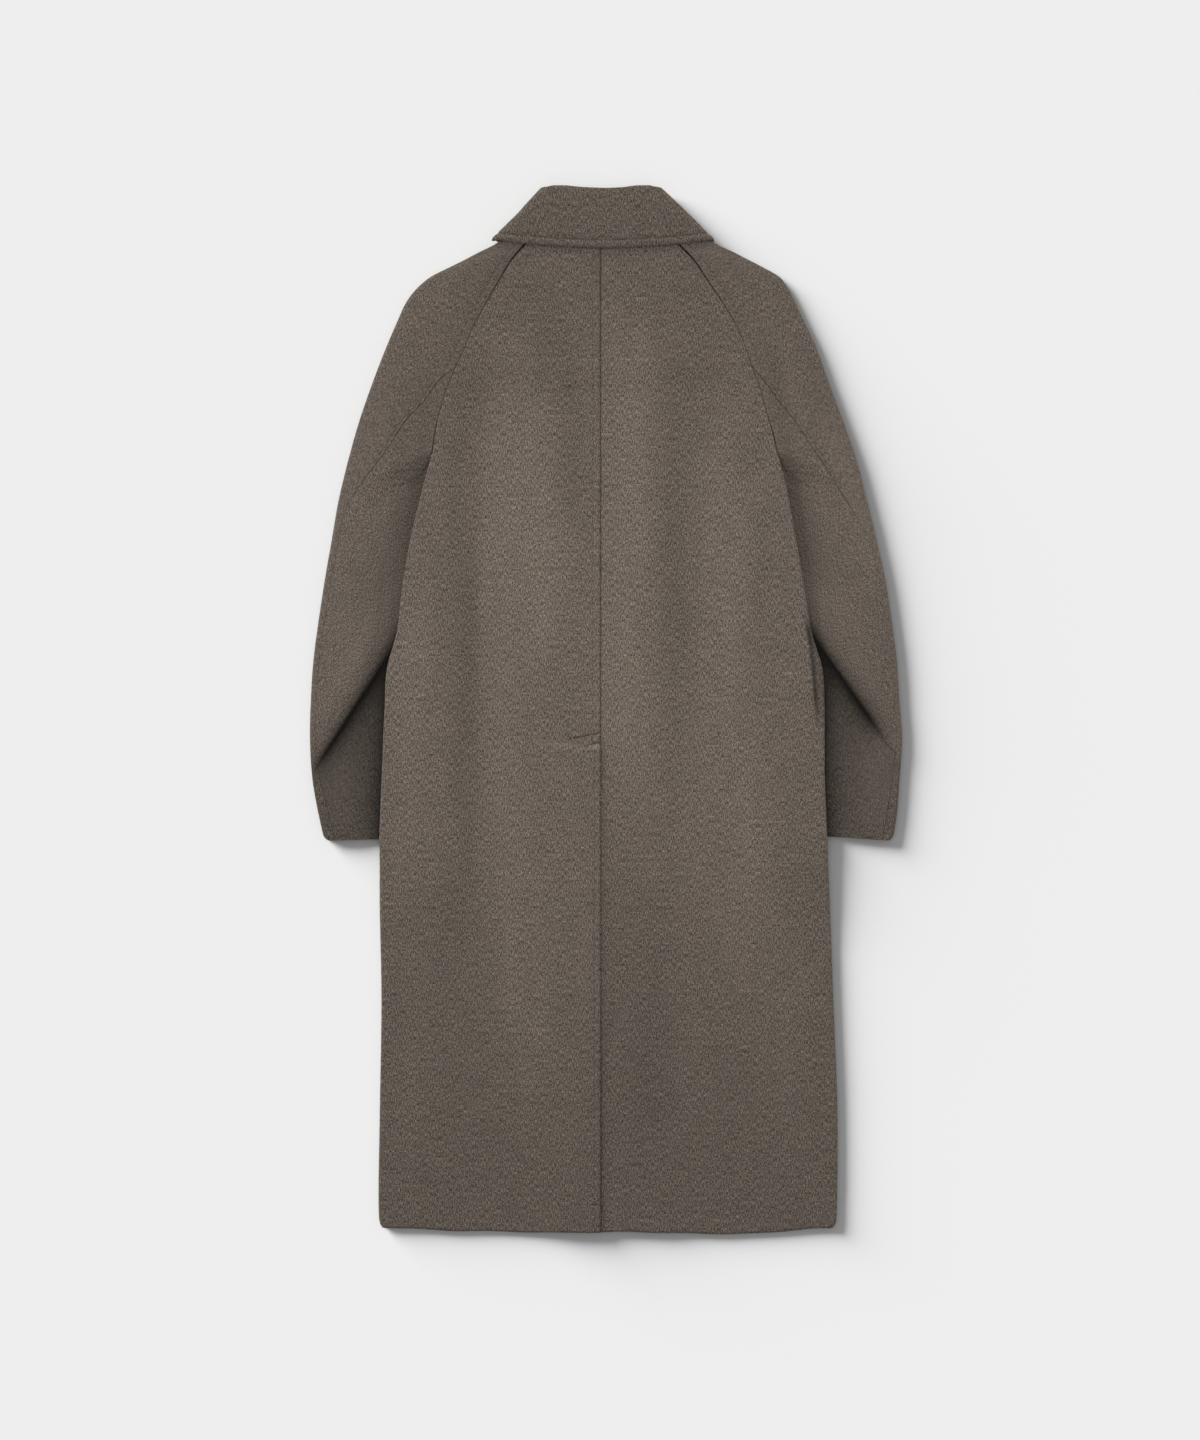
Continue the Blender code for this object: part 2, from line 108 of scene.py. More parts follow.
# Outlines and seams, with x measured out from the middle
BACK_EDGE = (
    # y, left, right
    (-596, 261, 265), (-585, 262, 266), (-470, 261, 267), (-330, 259, 262), (-218, 261, 258),
    (-147, 261, 255), (-68, 258, 252), (2, 255, 252), (50, 252, 249), (86, 242, 238), (140, 235, 229),
    (203, 224, 218), (265, 209, 206), (300, 200, 197), (320, 197, 192), (346, 191, 184), (369, 184, 178),
    (393, 174, 169), (419, 162, 160), (439, 154, 152), (465, 140, 137), (492, 125, 119), (523, 106, 98),
    (539, 92, 82), (553, 76, 68),
)
FRONT_EDGE = (
    # y, x
    (-600, 300), (110, 300), (150, 200), (170, 176), (185, 168), (219, 164), (250, 161), (300, 152),
    (350, 138), (400, 118), (440, 98), (488, 70),
)
OUTLINE = (
    # y, left, right
    (-151, 324, 330), (-120, 331, 335), (-80, 338, 338), (-34, 341, 341), (12, 340, 338), (58, 337, 335),
    (104, 331, 329), (150, 324, 322), (196, 316, 312), (242, 308, 301), (288, 297, 289), (334, 284, 273),
    (380, 268, 256), (426, 250, 239), (449, 240, 228), (472, 229, 217), (486, 218, 210), (500, 201, 199),
    (513, 175, 176), (527, 147, 148), (536, 129, 129), (550, 110, 110),
)
SLEEVE = (
    # back_x, back_y, out_y, front_x, front_y, loft
    (76, 553, 550, 70, 488, 10.8), (92, 539, 536, 80, 470, 11.0), (106, 523, 518, 91, 450, 11.2),
    (122, 498, 501, 103, 430, 11.3), (135, 475, 482, 112, 412, 11.4), (146, 454, 457, 121, 393, 11.6),
    (156, 434, 428, 129, 374, 11.9), (165, 413, 402, 135, 357, 12.2), (174, 393, 372, 141, 340, 12.6),
    (186, 363, 332, 148, 315, 13.2), (197, 320, 290, 155, 290, 13.8), (200, 298, 250, 159, 270, 14.2),
    (201, 289, 230, 161, 262, 14.3), (203, 282, 205, 163, 252, 14.4), (192, 267, 165, 166, 240, 14.6),
    (185, 250, 115, 168, 230, 14.6), (180, 236, 70, 170, 222, 14.6), (177, 226, 20, 175, 216, 14.6),
    (175, 218, -20, 173, 210, 14.4),
)
FOREARM = (
    # back_x, back_y, out_y, loft
    (170, 120, -88, 8.2), (170, 70, -97, 8.0), (172, 10, -108, 7.8), (174, -50, -120, 7.6),
    (176, -105, -134, 7.4), (178, -136, -143, 7.2), (179, -146, -150, 6.8),
)
# How much higher each cuff ends, and the station at which the under piece starts
CUFF_RISE = {-1: 0.0, 1: 6.0}
UNDER_FROM = 8
HIND_SEAM = (
    # y, left, right
    (395, 170, 165), (393, 174, 169), (381, 190, 180), (359, 206, 196), (334, 229, 216), (304, 248, 236),
    (269, 275, 259), (246, 291, 273), (219, 305, 290), (190, 316, 307), (160, 325, 318),
)
# Inner and outer end of each elbow fold
ELBOW = {-1: ((170, 190), (338, -72)), 1: ((170, 184), (339, -58))}
# Steps across the elbow fold: the edge rounds over, then drops steeply onto the forearm
ELBOW_STEPS = (
    # along, drop
    (-16.0, 0.0), (-8.0, 0.02), (-3.0, 0.09), (-0.8, 0.25), (-0.1, 0.45), (0.3, 0.65), (0.8, 0.84),
    (2.0, 0.95), (6.0, 1.0), (14.0, 1.0),
)
# Soft folds of the back: ridges (or troughs, where height is negative) along a leaning line
FOLDS = (
    # top_x, top_y, low_x, low_y, width, height
    (-118, 330, -92, -420, 32, 4.4),
    (-222, 120, -238, -260, 22, 2.6),
    (-62, 330, -74, 40, 26, 3.2),
    (20, 400, 36, -100, 30, 3.8),
    (132, 330, 158, -320, 34, 3.8),
    (84, -40, 96, -540, 40, 3.2),
    (-192, -140, -214, -540, 30, 3.0),
    (60, 400, 88, 60, 20, -1.6),
    (196, -160, 214, -520, 30, 2.0),
    (-150, 250, -160, -60, 16, -1.8),
    (-30, -120, -24, -520, 22, 1.8),
)
# Share of the elbow fold at which its painted shade fades, and how much lighter the painted shade leaves the
# outer side of the forearm
ELBOW_END = {-1: 1.06, 1: 0.94}
ELBOW_LIT = {-1: 0.03, 1: 0.12}
# Soft folds along each arm
SLEEVE_FOLDS = {
    # start_x, start_y, end_x, end_y, width, height
    -1: ((232, 420, 276, 170, 15, 1.2), (206, 300, 260, 110, 16, -1.4), (262, 110, 306, 10, 14, 1.2),
         (280, -20, 268, -130, 18, -0.8), (306, -60, 300, -140, 12, 0.9)),
    1: ((214, 400, 262, 190, 15, 1.2), (216, 280, 252, 120, 14, -1.8), (270, 130, 306, 20, 14, 1.4),
        (286, -20, 276, -130, 18, -0.8), (310, -50, 306, -135, 12, 0.9)),
}
# Painted shade in soft bands of the back and the sleeves, and painted light where the depth is negative: a
# line of (x, y), a width and a depth
PAINTED_SHADING_BANDS = (
    (((-156, 414), (-171, 142), (-160, 20), (-168, -95), (-187, -249), (-210, -425), (-222, -548)), 24, 0.07),
    (((-79, 480), (-45, 342), (-38, 219)), 22, 0.08),
    (((-107, 135), (-91, -57), (-84, -325)), 20, 0.03),
    (((116, 418), (100, 265), (85, 127), (77, -57), (62, -287), (47, -479)), 26, 0.08),
    (((162, 311), (174, 127), (154, -3), (139, -210)), 20, 0.06),
    (((60, -210), (80, -420), (90, -560)), 70, 0.06),
    (((48, 440), (44, 330), (33, 173)), 24, -0.10),
    (((-74, 288), (-76, 173)), 22, -0.04),
)
SLEEVE_PAINTED_SHADING_BANDS = {
    -1: (
        (((229, 434), (248, 303), (271, 204), (286, 112)), 22, 0.08),
        (((210, 380), (214, 288), (222, 200)), 13, 0.06),
    ),
    1: (
        (((190, 411), (203, 326), (220, 234), (236, 150)), 15, 0.12),
        (((223, 411), (243, 303), (250, 158)), 14, 0.05),
        (((262, 200), (286, 90), (304, 20)), 18, 0.03),
        (((255, 330), (281, 265), (306, 150)), 17, -0.11),
    ),
}
# The two slanting rows of stitches that hold the top of the vent, each from its left to its right end
TACKS = (((-43.7, -33.4), (-6.8, -25.9)), ((-42.0, -44.3), (-6.8, -36.8)))
# The collar, from the middle of the front, where its turn is 180, to the middle of the back, where it is 0
COLLAR = (
    # neck_x, neck_y, roll_x, roll_y, fall_x, fall_y, turn
    (7, 453, 9, 492, 14, 464, 180), (24, 464, 24, 506, 36, 438, 180), (44, 478, 38, 527, 60, 424, 180),
    (64, 488, 50, 552, 86, 462, 180), (81, 514, 62, 574, 104, 505, 180), (88, 525, 67, 583, 112, 532, 180),
    (92, 533, 68, 588, 118, 536, 158), (95, 540, 70, 592, 121, 537, 132), (97, 546, 70, 595, 122, 537, 104),
    (98, 552, 70, 598, 122, 537, 70), (96, 555, 69, 600, 120, 538.5, 40), (90, 556, 66, 602, 116, 539.5, 12),
    (78, 558, 60, 604, 104, 538.5, 0), (56, 561, 47, 604, 74, 535.5, 0), (28, 562, 26, 602, 36, 533, 0),
    (0, 562, 0, 601, 0, 532, 0),
)
# How much narrower the right half is at the roll, and how much wider the left fall is
COLLAR_PULL = 11.0
COLLAR_SPREAD = 5.0
STAND_LEVEL = LAYER
FALL_LEVEL = 2.0 * LAYER
COLLAR_MID = FALL_LEVEL + 0.5 * CLOTH


def ease(value):
    """Smooth step from 0 to 1."""
    t = np.clip(value, 0.0, 1.0)
    return t * t * (3.0 - 2.0 * t)


def bump(distance, width):
    """Bell of height 1."""
    return np.exp(-((distance / width) ** 2))


def smooth(at, value, where):
    """Cubic curve through a column of values, with slopes that never overshoot."""
    at, value = np.asarray(at, float), np.asarray(value, float)
    slope = np.gradient(value, at)
    where = np.clip(np.asarray(where, float), at[0], at[-1])
    i = np.clip(np.searchsorted(at, where) - 1, 0, len(at) - 2)
    step = at[i + 1] - at[i]
    t = (where - at[i]) / step
    low, high = value[i], value[i + 1]
    limit = 3.0 * np.abs(high - low) / step
    start, end = np.clip(slope[i], -limit, limit), np.clip(slope[i + 1], -limit, limit)
    flat = (2 * t**3 - 3 * t**2 + 1) * low + (3 * t**2 - 2 * t**3) * high
    return flat + step * ((t**3 - 2 * t**2 + t) * start + (t**3 - t**2) * end)


def smoothed(rows, places):
    """Every column of a table at fractional row numbers."""
    number = np.arange(len(rows), dtype=float)
    return np.stack([smooth(number, rows[:, key], places) for key in range(rows.shape[1])], axis=1)


def divided(gaps, step, least):
    """Fractional row numbers that divide each gap between rows into steps of at most this length."""
    places = []
    for i, gap in enumerate(gaps):
        count = max(least, math.ceil(gap / step))
        places += [i + k / count for k in range(count)]
    return places + [float(len(gaps))]


def column(table, key):
    """One column of a table as a smooth function of its first column."""
    rows = np.array(sorted(table), float)
    return lambda y: smooth(rows[:, 0], rows[:, key], y)


back_edge, outline, hind_seam = (
    {-1: column(table, 1), 1: column(table, 2)} for table in (BACK_EDGE, OUTLINE, HIND_SEAM))
front_seam = column(FRONT_EDGE, 1)


def front_edge(y, side):
    """Edge of the front: the side seam below, the front raglan seam above."""
    return np.minimum(front_seam(y), back_edge[side](y) - ALLOWANCE - 4.0 * SEAM)


def inner_edge(y):
    """Inner edge of the sleeve under the body, measured from the centre."""
    lower = 177.0 - 7.0 * ease((UNDERARM_Y - y) / 60.0) + 9.0 * ease((60.0 - y) / 210.0)
    return lower + 20.0 * ease((y - UNDERARM_Y) / 90.0)


def over_sleeve(x, y, margin, top):
    """Share of the height of the sleeve that lies under the body at a place."""
    across = ease((np.abs(x) - inner_edge(y) + margin + 15.0) / (10.0 + 1.5 * margin))
    end = 24.0 + 6.0 * margin
    return across * ease((top - y) / 22.0) * ease((y - CUFF_Y + end) / (end - 4.0))


def over_collar(x, y, margin=0.0):
    """Share of the height of the collar front that lies under the coat at a place."""
    side = ease((166.0 + margin - np.abs(x)) / (22.0 + margin))
    return side * ease((y - 400.0 + margin) / (18.0 + 0.5 * margin))


def lower_height(x, y):
    """Under face of the layer that lies down."""
    return (LAYER + SEAM) * over_collar(x, y)


def front_height(x, y):
    """Under face of the front, which climbs over the sleeve tucked below it."""
    return np.maximum(lower_height(x, y), SLEEVE_STACK * over_sleeve(x, y, 0.0, UNDERARM_Y - 10.0))


def relief(x, y):
    """Height of the soft folds of the back."""
    rise = np.zeros(np.broadcast(x, y).shape)
    for top_x, top_y, low_x, low_y, width, height in FOLDS:
        along = (top_y - y) / (top_y - low_y)
        bend = 5.0 * np.sin(5.0 * along + 0.03 * top_x)
        middle = top_x + (low_x - top_x) * along + bend
        ends = ease((along + 0.25) / 0.45) * ease((1.22 - along) / 0.4)
        swell = 1.0 + 0.25 * np.sin(7.0 * along + 0.05 * low_x)
        rise = rise + height * ends * swell * bump(x - middle, width)
    wander = np.sin(0.021 * x + 0.9 * np.sin(0.011 * y)) * np.sin(0.0093 * y + 1.7)
    return rise + 0.35 * (1.0 + wander)


def seam_height(y):
    """Height of the raglan seam above the surface below."""
    return NECK_STACK + 0.6 * ease((470.0 - y) / 100.0)


def back_height(x, y, side):
    """Outer face of the back, without its sewing."""
    edge = back_edge[side](y)
    near = ease((np.abs(x) - edge + 70.0) / 70.0)
    under = np.maximum(SLEEVE_STACK * over_sleeve(x, y, 20.0, 380.0), LAYER * over_collar(x, y, 40.0))
    lapped = LAYER * ease((110.0 - np.abs(x)) / 60.0)
    low = under + lapped + PLAIN_STACK + 0.5
    upper = ease((y - SPLIT_Y + 40.0) / 60.0)
    edge_height = np.maximum(low + 1.0, EDGE_LOFT) * (1 - upper) + seam_height(y) * upper
    mixed = (low + relief(x, y)) * (1 - near) + edge_height * near
    neck = ease((y - 470.0) / 70.0)
    return np.maximum(mixed, low) * (1 - neck) + NECK_STACK * neck


def tack_lines(x, y):
    """Bells along the two slanting rows of stitches that hold the top of the vent."""
    found = 0.0 * x * y
    for (top_x, top_y), (low_x, low_y) in TACKS:
        off = y - (top_y + (low_y - top_y) / (low_x - top_x) * (x - top_x))
        found = found + bump(off, 1.1) * ease((x - top_x) / 2.0) * ease((low_x - x) / 1.0 + 0.5)
    return found


def back_sewing(x, y, side):
    """Change of height that the centre seam, its topstitching and the vent give the back."""
    away = (x - CENTRE_X) * side
    vent = ease((VENT_TOP_Y - y) / 5.0)
    change = -1.0 * bump(away, 1.4) * (1.0 - vent)
    if side > 0:
        ends = ease((y + 40.0) / 60.0) * ease((108.0 - y) / 26.0)
        change = change - 2.6 * bump(x - side_pleat(y), 2.2) * ends
    if side < 0:
        lap = ease((x + 82.0) / 40.0) * ease((VENT_TOP_Y - y) / 9.0)
        stitch = CENTRE_TOPSTITCH + (VENT_TOPSTITCH - CENTRE_TOPSTITCH) * vent
        change = change + (LAYER + GAP) * lap - 0.26 * bump(away - stitch, 1.0)
        change = change + 0.18 * bump(away - 0.5 * stitch, 2.6) - 0.8 * vent * bump(away, 1.0)
        change = change - 0.6 * tack_lines(x, y)
    return change


def back_painted_shading(x, y, side):
    """Painted light and shade on the back: painted light on the folds, and painted shade in the hollows,
    beside the seams, along the vent tacks and in the side pleat.
    """
    away = np.abs(x - CENTRE_X)
    # Painted light on the ridges of the folds and painted shade in their hollows, in the centre seam's groove
    # and in soft bands
    tone = 0.94 + 0.032 * np.clip(relief(x, y) - 0.6, -2.0, 4.0)
    tone = tone - 0.30 * bump(away, 1.1) - painted_shading_bands(x, y, PAINTED_SHADING_BANDS)
    if side < 0:
        # Painted shade along the two rows of tack stitches, which sink into the cloth
        return tone - 0.30 * tack_lines(x, y)
    # Painted shade in the groove of the side pleat and on the strip beside it
    off = x - side_pleat(y)
    within = ease((y + 40.0) / 60.0) * ease((112.0 - y) / 20.0)
    return tone - within * (0.50 * bump(off, 2.6) + 0.26 * ease(off / 3.0))


def side_pleat(y):
    """Line of the small pleat beside the right side fold."""
    return smooth((-30.0, -9.8, 23.6, 50.0, 86.0, 120.0), (246.0, 243.8, 240.8, 238.6, 234.0, 226.0), y)


def painted_shading_bands(x, y, bands):
    """Depth of painted shade in soft bands, each a bell round a curved line; a negative depth paints light.
    """
    depth = 0.0 * x
    for bend, width, most in bands:
        places = np.array(bend, float)
        middle = smooth(-places[:, 1], places[:, 0], -y)
        ends = ease((places[0, 1] - y) / 60.0 + 0.5) * ease((y - places[-1, 1]) / 60.0 + 0.5)
        depth = depth + most * ends * bump(x - middle, width)
    return depth


def rounded(away, above, radius):
    """How far a point moves in from an edge and up from a hem, so that their corner is a quarter circle."""
    across = 1.0 - np.clip(away / radius, 0.0, 1.0)
    up = 1.0 - np.clip(above / radius, 0.0, 1.0)
    in_from_edge = radius * across * (1.0 - np.sqrt(1.0 - 0.5 * up**2))
    up_from_hem = radius * up * (1.0 - np.sqrt(1.0 - 0.5 * across**2))
    return in_from_edge, up_from_hem


def unit_normals(grid):
    """Unit normals of a grid of points."""
    found = np.cross(np.gradient(grid, axis=1), np.gradient(grid, axis=0))
    return found / np.maximum(np.linalg.norm(found, axis=2, keepdims=True), 1e-9)


def grid_lengths(grid):
    """Distances in metres along the rows and down the columns of a grid, for the cloth's grain."""
    across = np.linalg.norm(np.diff(grid, axis=1), axis=2)
    down = np.linalg.norm(np.diff(grid, axis=0), axis=2)
    u = np.pad(np.cumsum(across, axis=1), ((0, 0), (1, 0)))
    v = np.pad(np.cumsum(down, axis=0), ((1, 0), (0, 0)))
    return u * MM, v * MM


def placed(name, data):
    """A new object in the scene, at the origin."""
    made = bpy.data.objects.new(name, data)
    bpy.context.collection.objects.link(made)
    return made


def wall(name, grid, grain, nap):
    """Closes a grid of outer points into a wall one cloth thick, with a UV map and a tone of painted light
    and shade per point.
    """
    grid = np.array(grid, float)
    rows, cols = grid.shape[:2]
    facing = unit_normals(grid)
    # Where rows bunch up on the side that lies down, the cloth's inner face still lies above its outer face
    facing[(grid[:, :, 2] < 0.5) & (facing[:, :, 2] > 0.0)] *= -1.0
    inner = grid - CLOTH * facing
    count = rows * cols
    ids = np.arange(count).reshape(rows, cols)
    quads = np.stack((ids[:-1, :-1], ids[:-1, 1:], ids[1:, 1:], ids[1:, :-1]), axis=2).reshape(-1, 4)
    rim = np.concatenate((ids[0, :], ids[1:, -1], ids[-1, -2::-1], ids[-2:0:-1, 0]))
    after = np.roll(rim, -1)
    strip = np.stack((after, rim, rim + count, after + count), axis=1)
    faces = np.vstack((quads, quads[:, ::-1] + count, strip))
    points = np.vstack((grid.reshape(-1, 3), inner.reshape(-1, 3))) * MM
    mesh = bpy.data.meshes.new(name)
    mesh.from_pydata(points.tolist(), [], faces.tolist())
    u, v = grain
    pair = np.stack((np.tile(u.ravel(), 2), np.tile(v.ravel(), 2)), axis=1)
    layer = mesh.uv_layers.new(name="grain")
    loops = np.zeros(len(mesh.loops), int)
    mesh.loops.foreach_get("vertex_index", loops)
    layer.data.foreach_set("uv", pair[loops].ravel())
    # Per-point tone of painted light and shade, which scales the cloth's colour and sheen
    tone = mesh.attributes.new("nap", "FLOAT", "POINT")
    tone.data.foreach_set("value", np.tile(np.broadcast_to(nap, grid.shape[:2]).ravel(), 2))
    mesh.shade_smooth()
    mesh.set_sharp_from_angle(angle=math.radians(60.0))
    return placed(name, mesh)


def station_places(rows, u):
    """Places at a share of the way along each station, from its inner to its outer end."""
    x = rows[:, 0:1] + (rows[:, 2:3] - rows[:, 0:1]) * u
    y = rows[:, 1:2] + (rows[:, 3:4] - rows[:, 1:2]) * u
    return x, y


def spread(length, count):
    """Shares of a width for a row of columns, close together at both edges where the seams are."""
    length = length[:, None]
    steps = np.array(SEAM_STEPS)[None, :] * np.minimum(1.0, length / FULL_STEPS_WIDTH) / length
    middle = count - 2 * len(SEAM_STEPS)
    share = (np.arange(middle) + 1.0) / (middle + 1.0)
    first, last = steps[:, -1:], 1.0 - steps[:, -1:]
    return np.concatenate((steps, first + (last - first) * share[None, :], 1.0 - steps[:, ::-1]), axis=1)


def neck_y(x):
    """Neck edge of the back, highest in the middle."""
    return 561.0 - 9.0 * ease((np.abs(x) - 20.0) / 70.0)


def hem_y(x):
    """Hem line: a little lower on the right, raised at both sides, and not quite straight."""
    uneven = 0.8 * np.sin(0.031 * x + 0.6) + 0.4 * np.sin(0.083 * x)
    return HEM_Y - 2.0 * ease((x + 100.0) / 250.0) + 5.0 * ease((np.abs(x) - 170.0) / 85.0) + uneven


def back(name, side):
    """Half of the back: flat from the centre seam out, turned under along its side."""
    fine = np.array(HEM_STEPS) + HEM_Y
    y = np.concatenate((fine, np.linspace(HEM_Y + 8.0, NECK_Y, int((NECK_Y - HEM_Y) / ROW_STEP))))
    if side < 0:
        y = np.unique(np.concatenate((y, np.arange(*TACK_ROWS))))
    edge = back_edge[side](y) - 2.0 * SEAM + SEAM * ease((y - SPLIT_Y) / 30.0)
    height = back_height(side * edge, y, side)
    floor = np.where(y < TUCK_Y, front_height(side * (edge - ALLOWANCE), y), height - PLAIN_STACK)
    radius = 0.5 * (height - floor)
    # The side folds are round, the sewn edge above them is tight
    bow = radius + (SEWN_BOW - radius) * ease((y - SPLIT_Y) / 50.0)
    flat = edge - bow
    underlap = VENT_LAP * ease((VENT_TOP_Y - 22.0 - y) / 24.0) if side > 0 else 0.0 * y
    start = side * CENTRE_X + SEAM - underlap
    share = spread(flat - start, BACK_COLUMNS)
    x = start[:, None] + (flat - start)[:, None] * share
    place = side * x
    rows = y[:, None] + 0.0 * x
    top = back_height(place, rows, side) + back_sewing(place, rows, side)
    top = top - HEM_ROLL * (1.0 - ease((rows - HEM_Y) / 3.0)) ** 2
    around_x = flat[:, None] + bow[:, None] * np.cos(TURN)
    around_z = (floor + radius)[:, None] + radius[:, None] * np.sin(TURN)
    last_x = (edge - ALLOWANCE)[:, None]
    x = np.concatenate((x, around_x, 0.5 * (last_x + flat[:, None]), last_x), axis=1)
    z = np.concatenate((top, around_z, floor[:, None], floor[:, None]), axis=1)
    place = side * x
    along = ((y - HEM_Y) / (NECK_Y - HEM_Y))[:, None]
    fitted = y[:, None] + (hem_y(place) - HEM_Y) * (1 - along) ** 8
    fitted = fitted + (neck_y(place) - NECK_Y) * ease((along - 0.9) / 0.1)
    inward, upward = rounded(edge[:, None] - x, y[:, None] - HEM_Y + 0.0 * x, HEM_CORNER)
    place = place - side * inward
    fitted = fitted + upward
    nap = back_painted_shading(place, y[:, None] + 0.0 * place, side)
    grid = np.dstack((place, fitted, z, nap))[::-1, ::-side]
    return wall(name, grid[:, :, :3], (grid[:, :, 0] * MM, grid[:, :, 1] * MM), grid[:, :, 3])


def front_neck(x):
    """Neck edge of the front, lowest in the middle."""
    return 444.0 + 43.0 * ease(np.abs(x) / 72.0)


def front(name, side):
    """Half of the front, which lies down: plain, with the left edge lapped over the right."""
    y = np.concatenate([np.linspace(*part) for part in FRONT_ROWS])
    edge = front_edge(y, side) - SEAM
    inner = inner_edge(y)
    near = np.minimum(inner - 15.0, edge - 9.0)
    far = np.minimum(inner - 5.0, edge - 4.0)
    step = FRONT_LAP + 3.0

    def between(a, b, count):
        """Columns from one line to the next, without the first line."""
        share = np.arange(1, count + 1)[None, :] / count
        return a[:, None] + (b - a)[:, None] * share

    lap = 0.0 * y - FRONT_LAP
    foot = 0.0 * y + step
    head = foot + 14.0
    x = np.concatenate((lap[:, None], between(lap, foot, 8), between(foot, head, 4), between(head, near, 8),
                        between(near, far, 4), between(far, edge, 5)), axis=1)
    place = side * x
    rows = y[:, None] + 0.0 * x
    lifted = LAYER * ease((step + 14.0 - x) / 14.0) if side > 0 else 0.0
    z = front_height(place, rows) + lifted
    along = ((y - HEM_Y) / (FRONT_TOP_Y - HEM_Y))[:, None]
    fitted = rows + (front_neck(x) - FRONT_TOP_Y) * ease((along - 0.85) / 0.15)
    fitted = fitted + (hem_y(place) + 3.0 - HEM_Y) * (1.0 - along) ** 8
    place = place - side * 3.0 * ease((np.abs(place) - 200.0) / 40.0) * (1.0 - along) ** 8
    grid = np.stack((place, fitted, z), axis=2)[::-1, ::side]
    return wall(name, grid, (grid[:, :, 0] * MM, grid[:, :, 1] * MM), 0.94)


def sleeve_stations(side):
    """The few stations of a sleeve: x and y of its back seam, outline and front seam, and its loft."""
    rows = []
    for ax, ay, by, fx, fy, loft in SLEEVE:
        if ay > EMERGE_Y:
            ax = float(back_edge[side](ay)) + SEAM
        if fy > UNDERARM_Y:
            fx = float(front_edge(fy, side)) + 1.0
        rows.append((ax, ay, float(outline[side](by)), by, fx, fy, loft))
    inner, outer = np.array(ELBOW[side], float)
    for shift, drop in ELBOW_STEPS:
        a = inner - (0.0, 1.2 * shift)
        b = outer - (0.0, 0.6 * shift)
        rows.append((*a, *b, *a, 14.4 - 6.0 * drop))
    for ax, ay, by, loft in FOREARM:
        rise = CUFF_RISE[side] * float(ease((60.0 - ay) / 200.0))
        rows.append((ax, ay + rise, float(outline[side](by)), by, ax, ay + rise, loft))
    return np.array(rows)


def fine_stations(side):
    """Stations every few millimetres, and the number of the coarse station that each one lies at."""
    rows = sleeve_stations(side)
    step = np.diff(rows, axis=0)
    places = divided(np.hypot(step[:, 0:3:2], step[:, 1:4:2]).max(axis=1), ROW_STEP, 2)
    places = np.unique(places + [len(rows) - 1.0 - before for before in CUFF_STEPS])
    fine = smoothed(rows, places)
    on_edge = fine[:, 3] < 549.0
    fine[on_edge, 2] = outline[side](fine[on_edge, 3])
    emerged = fine[:, 1] > EMERGE_Y
    fine[emerged, 0] = back_edge[side](fine[emerged, 1]) + 0.3 * SEAM
    return fine, places


def sleeve_height(u, rows, side):
    """Outer face of the upper wall of a sleeve at a share of the way from its inner edge."""
    ay, bx, by, loft = (rows[:, k:k + 1] for k in (1, 2, 3, 6))
    x, y = station_places(rows, u)
    emerging = ease((ay - EMERGE_Y) / (SPLIT_Y - EMERGE_Y))
    above = PLAIN_STACK + (seam_height(SPLIT_Y) - PLAIN_STACK) * emerging
    start = np.where(ay > SPLIT_Y, seam_height(ay), above)
    rim = EDGE_LOFT + 0.6 + lower_height(bx, by)
    base = start + (rim - start) * ease(u)
    crown = np.maximum(0.0, loft - rim) * np.sin(math.pi * np.clip(u, 0, 1) ** 1.15) ** 0.8
    height = base + crown
    clear = ease((x - back_edge[side](y)) / 32.0)
    hidden = PLAIN_STACK + (height - PLAIN_STACK) * clear
    folds = sleeve_folds(x, y, side) * ease(u * 6.0) * ease((1 - u) * 6.0)
    return np.where(ay < EMERGE_Y, hidden, height) + folds


def sleeve_folds(x, y, side):
    """Soft folds along the arm."""
    rise = 0.0 * x
    for start_x, start_y, end_x, end_y, width, height in SLEEVE_FOLDS[side]:
        along = (start_y - y) / (start_y - end_y)
        middle = start_x + (end_x - start_x) * along
        ends = ease((along + 0.3) / 0.5) * ease((1.3 - along) / 0.5)
        rise = rise + height * ends * bump(x - middle, width)
    return rise


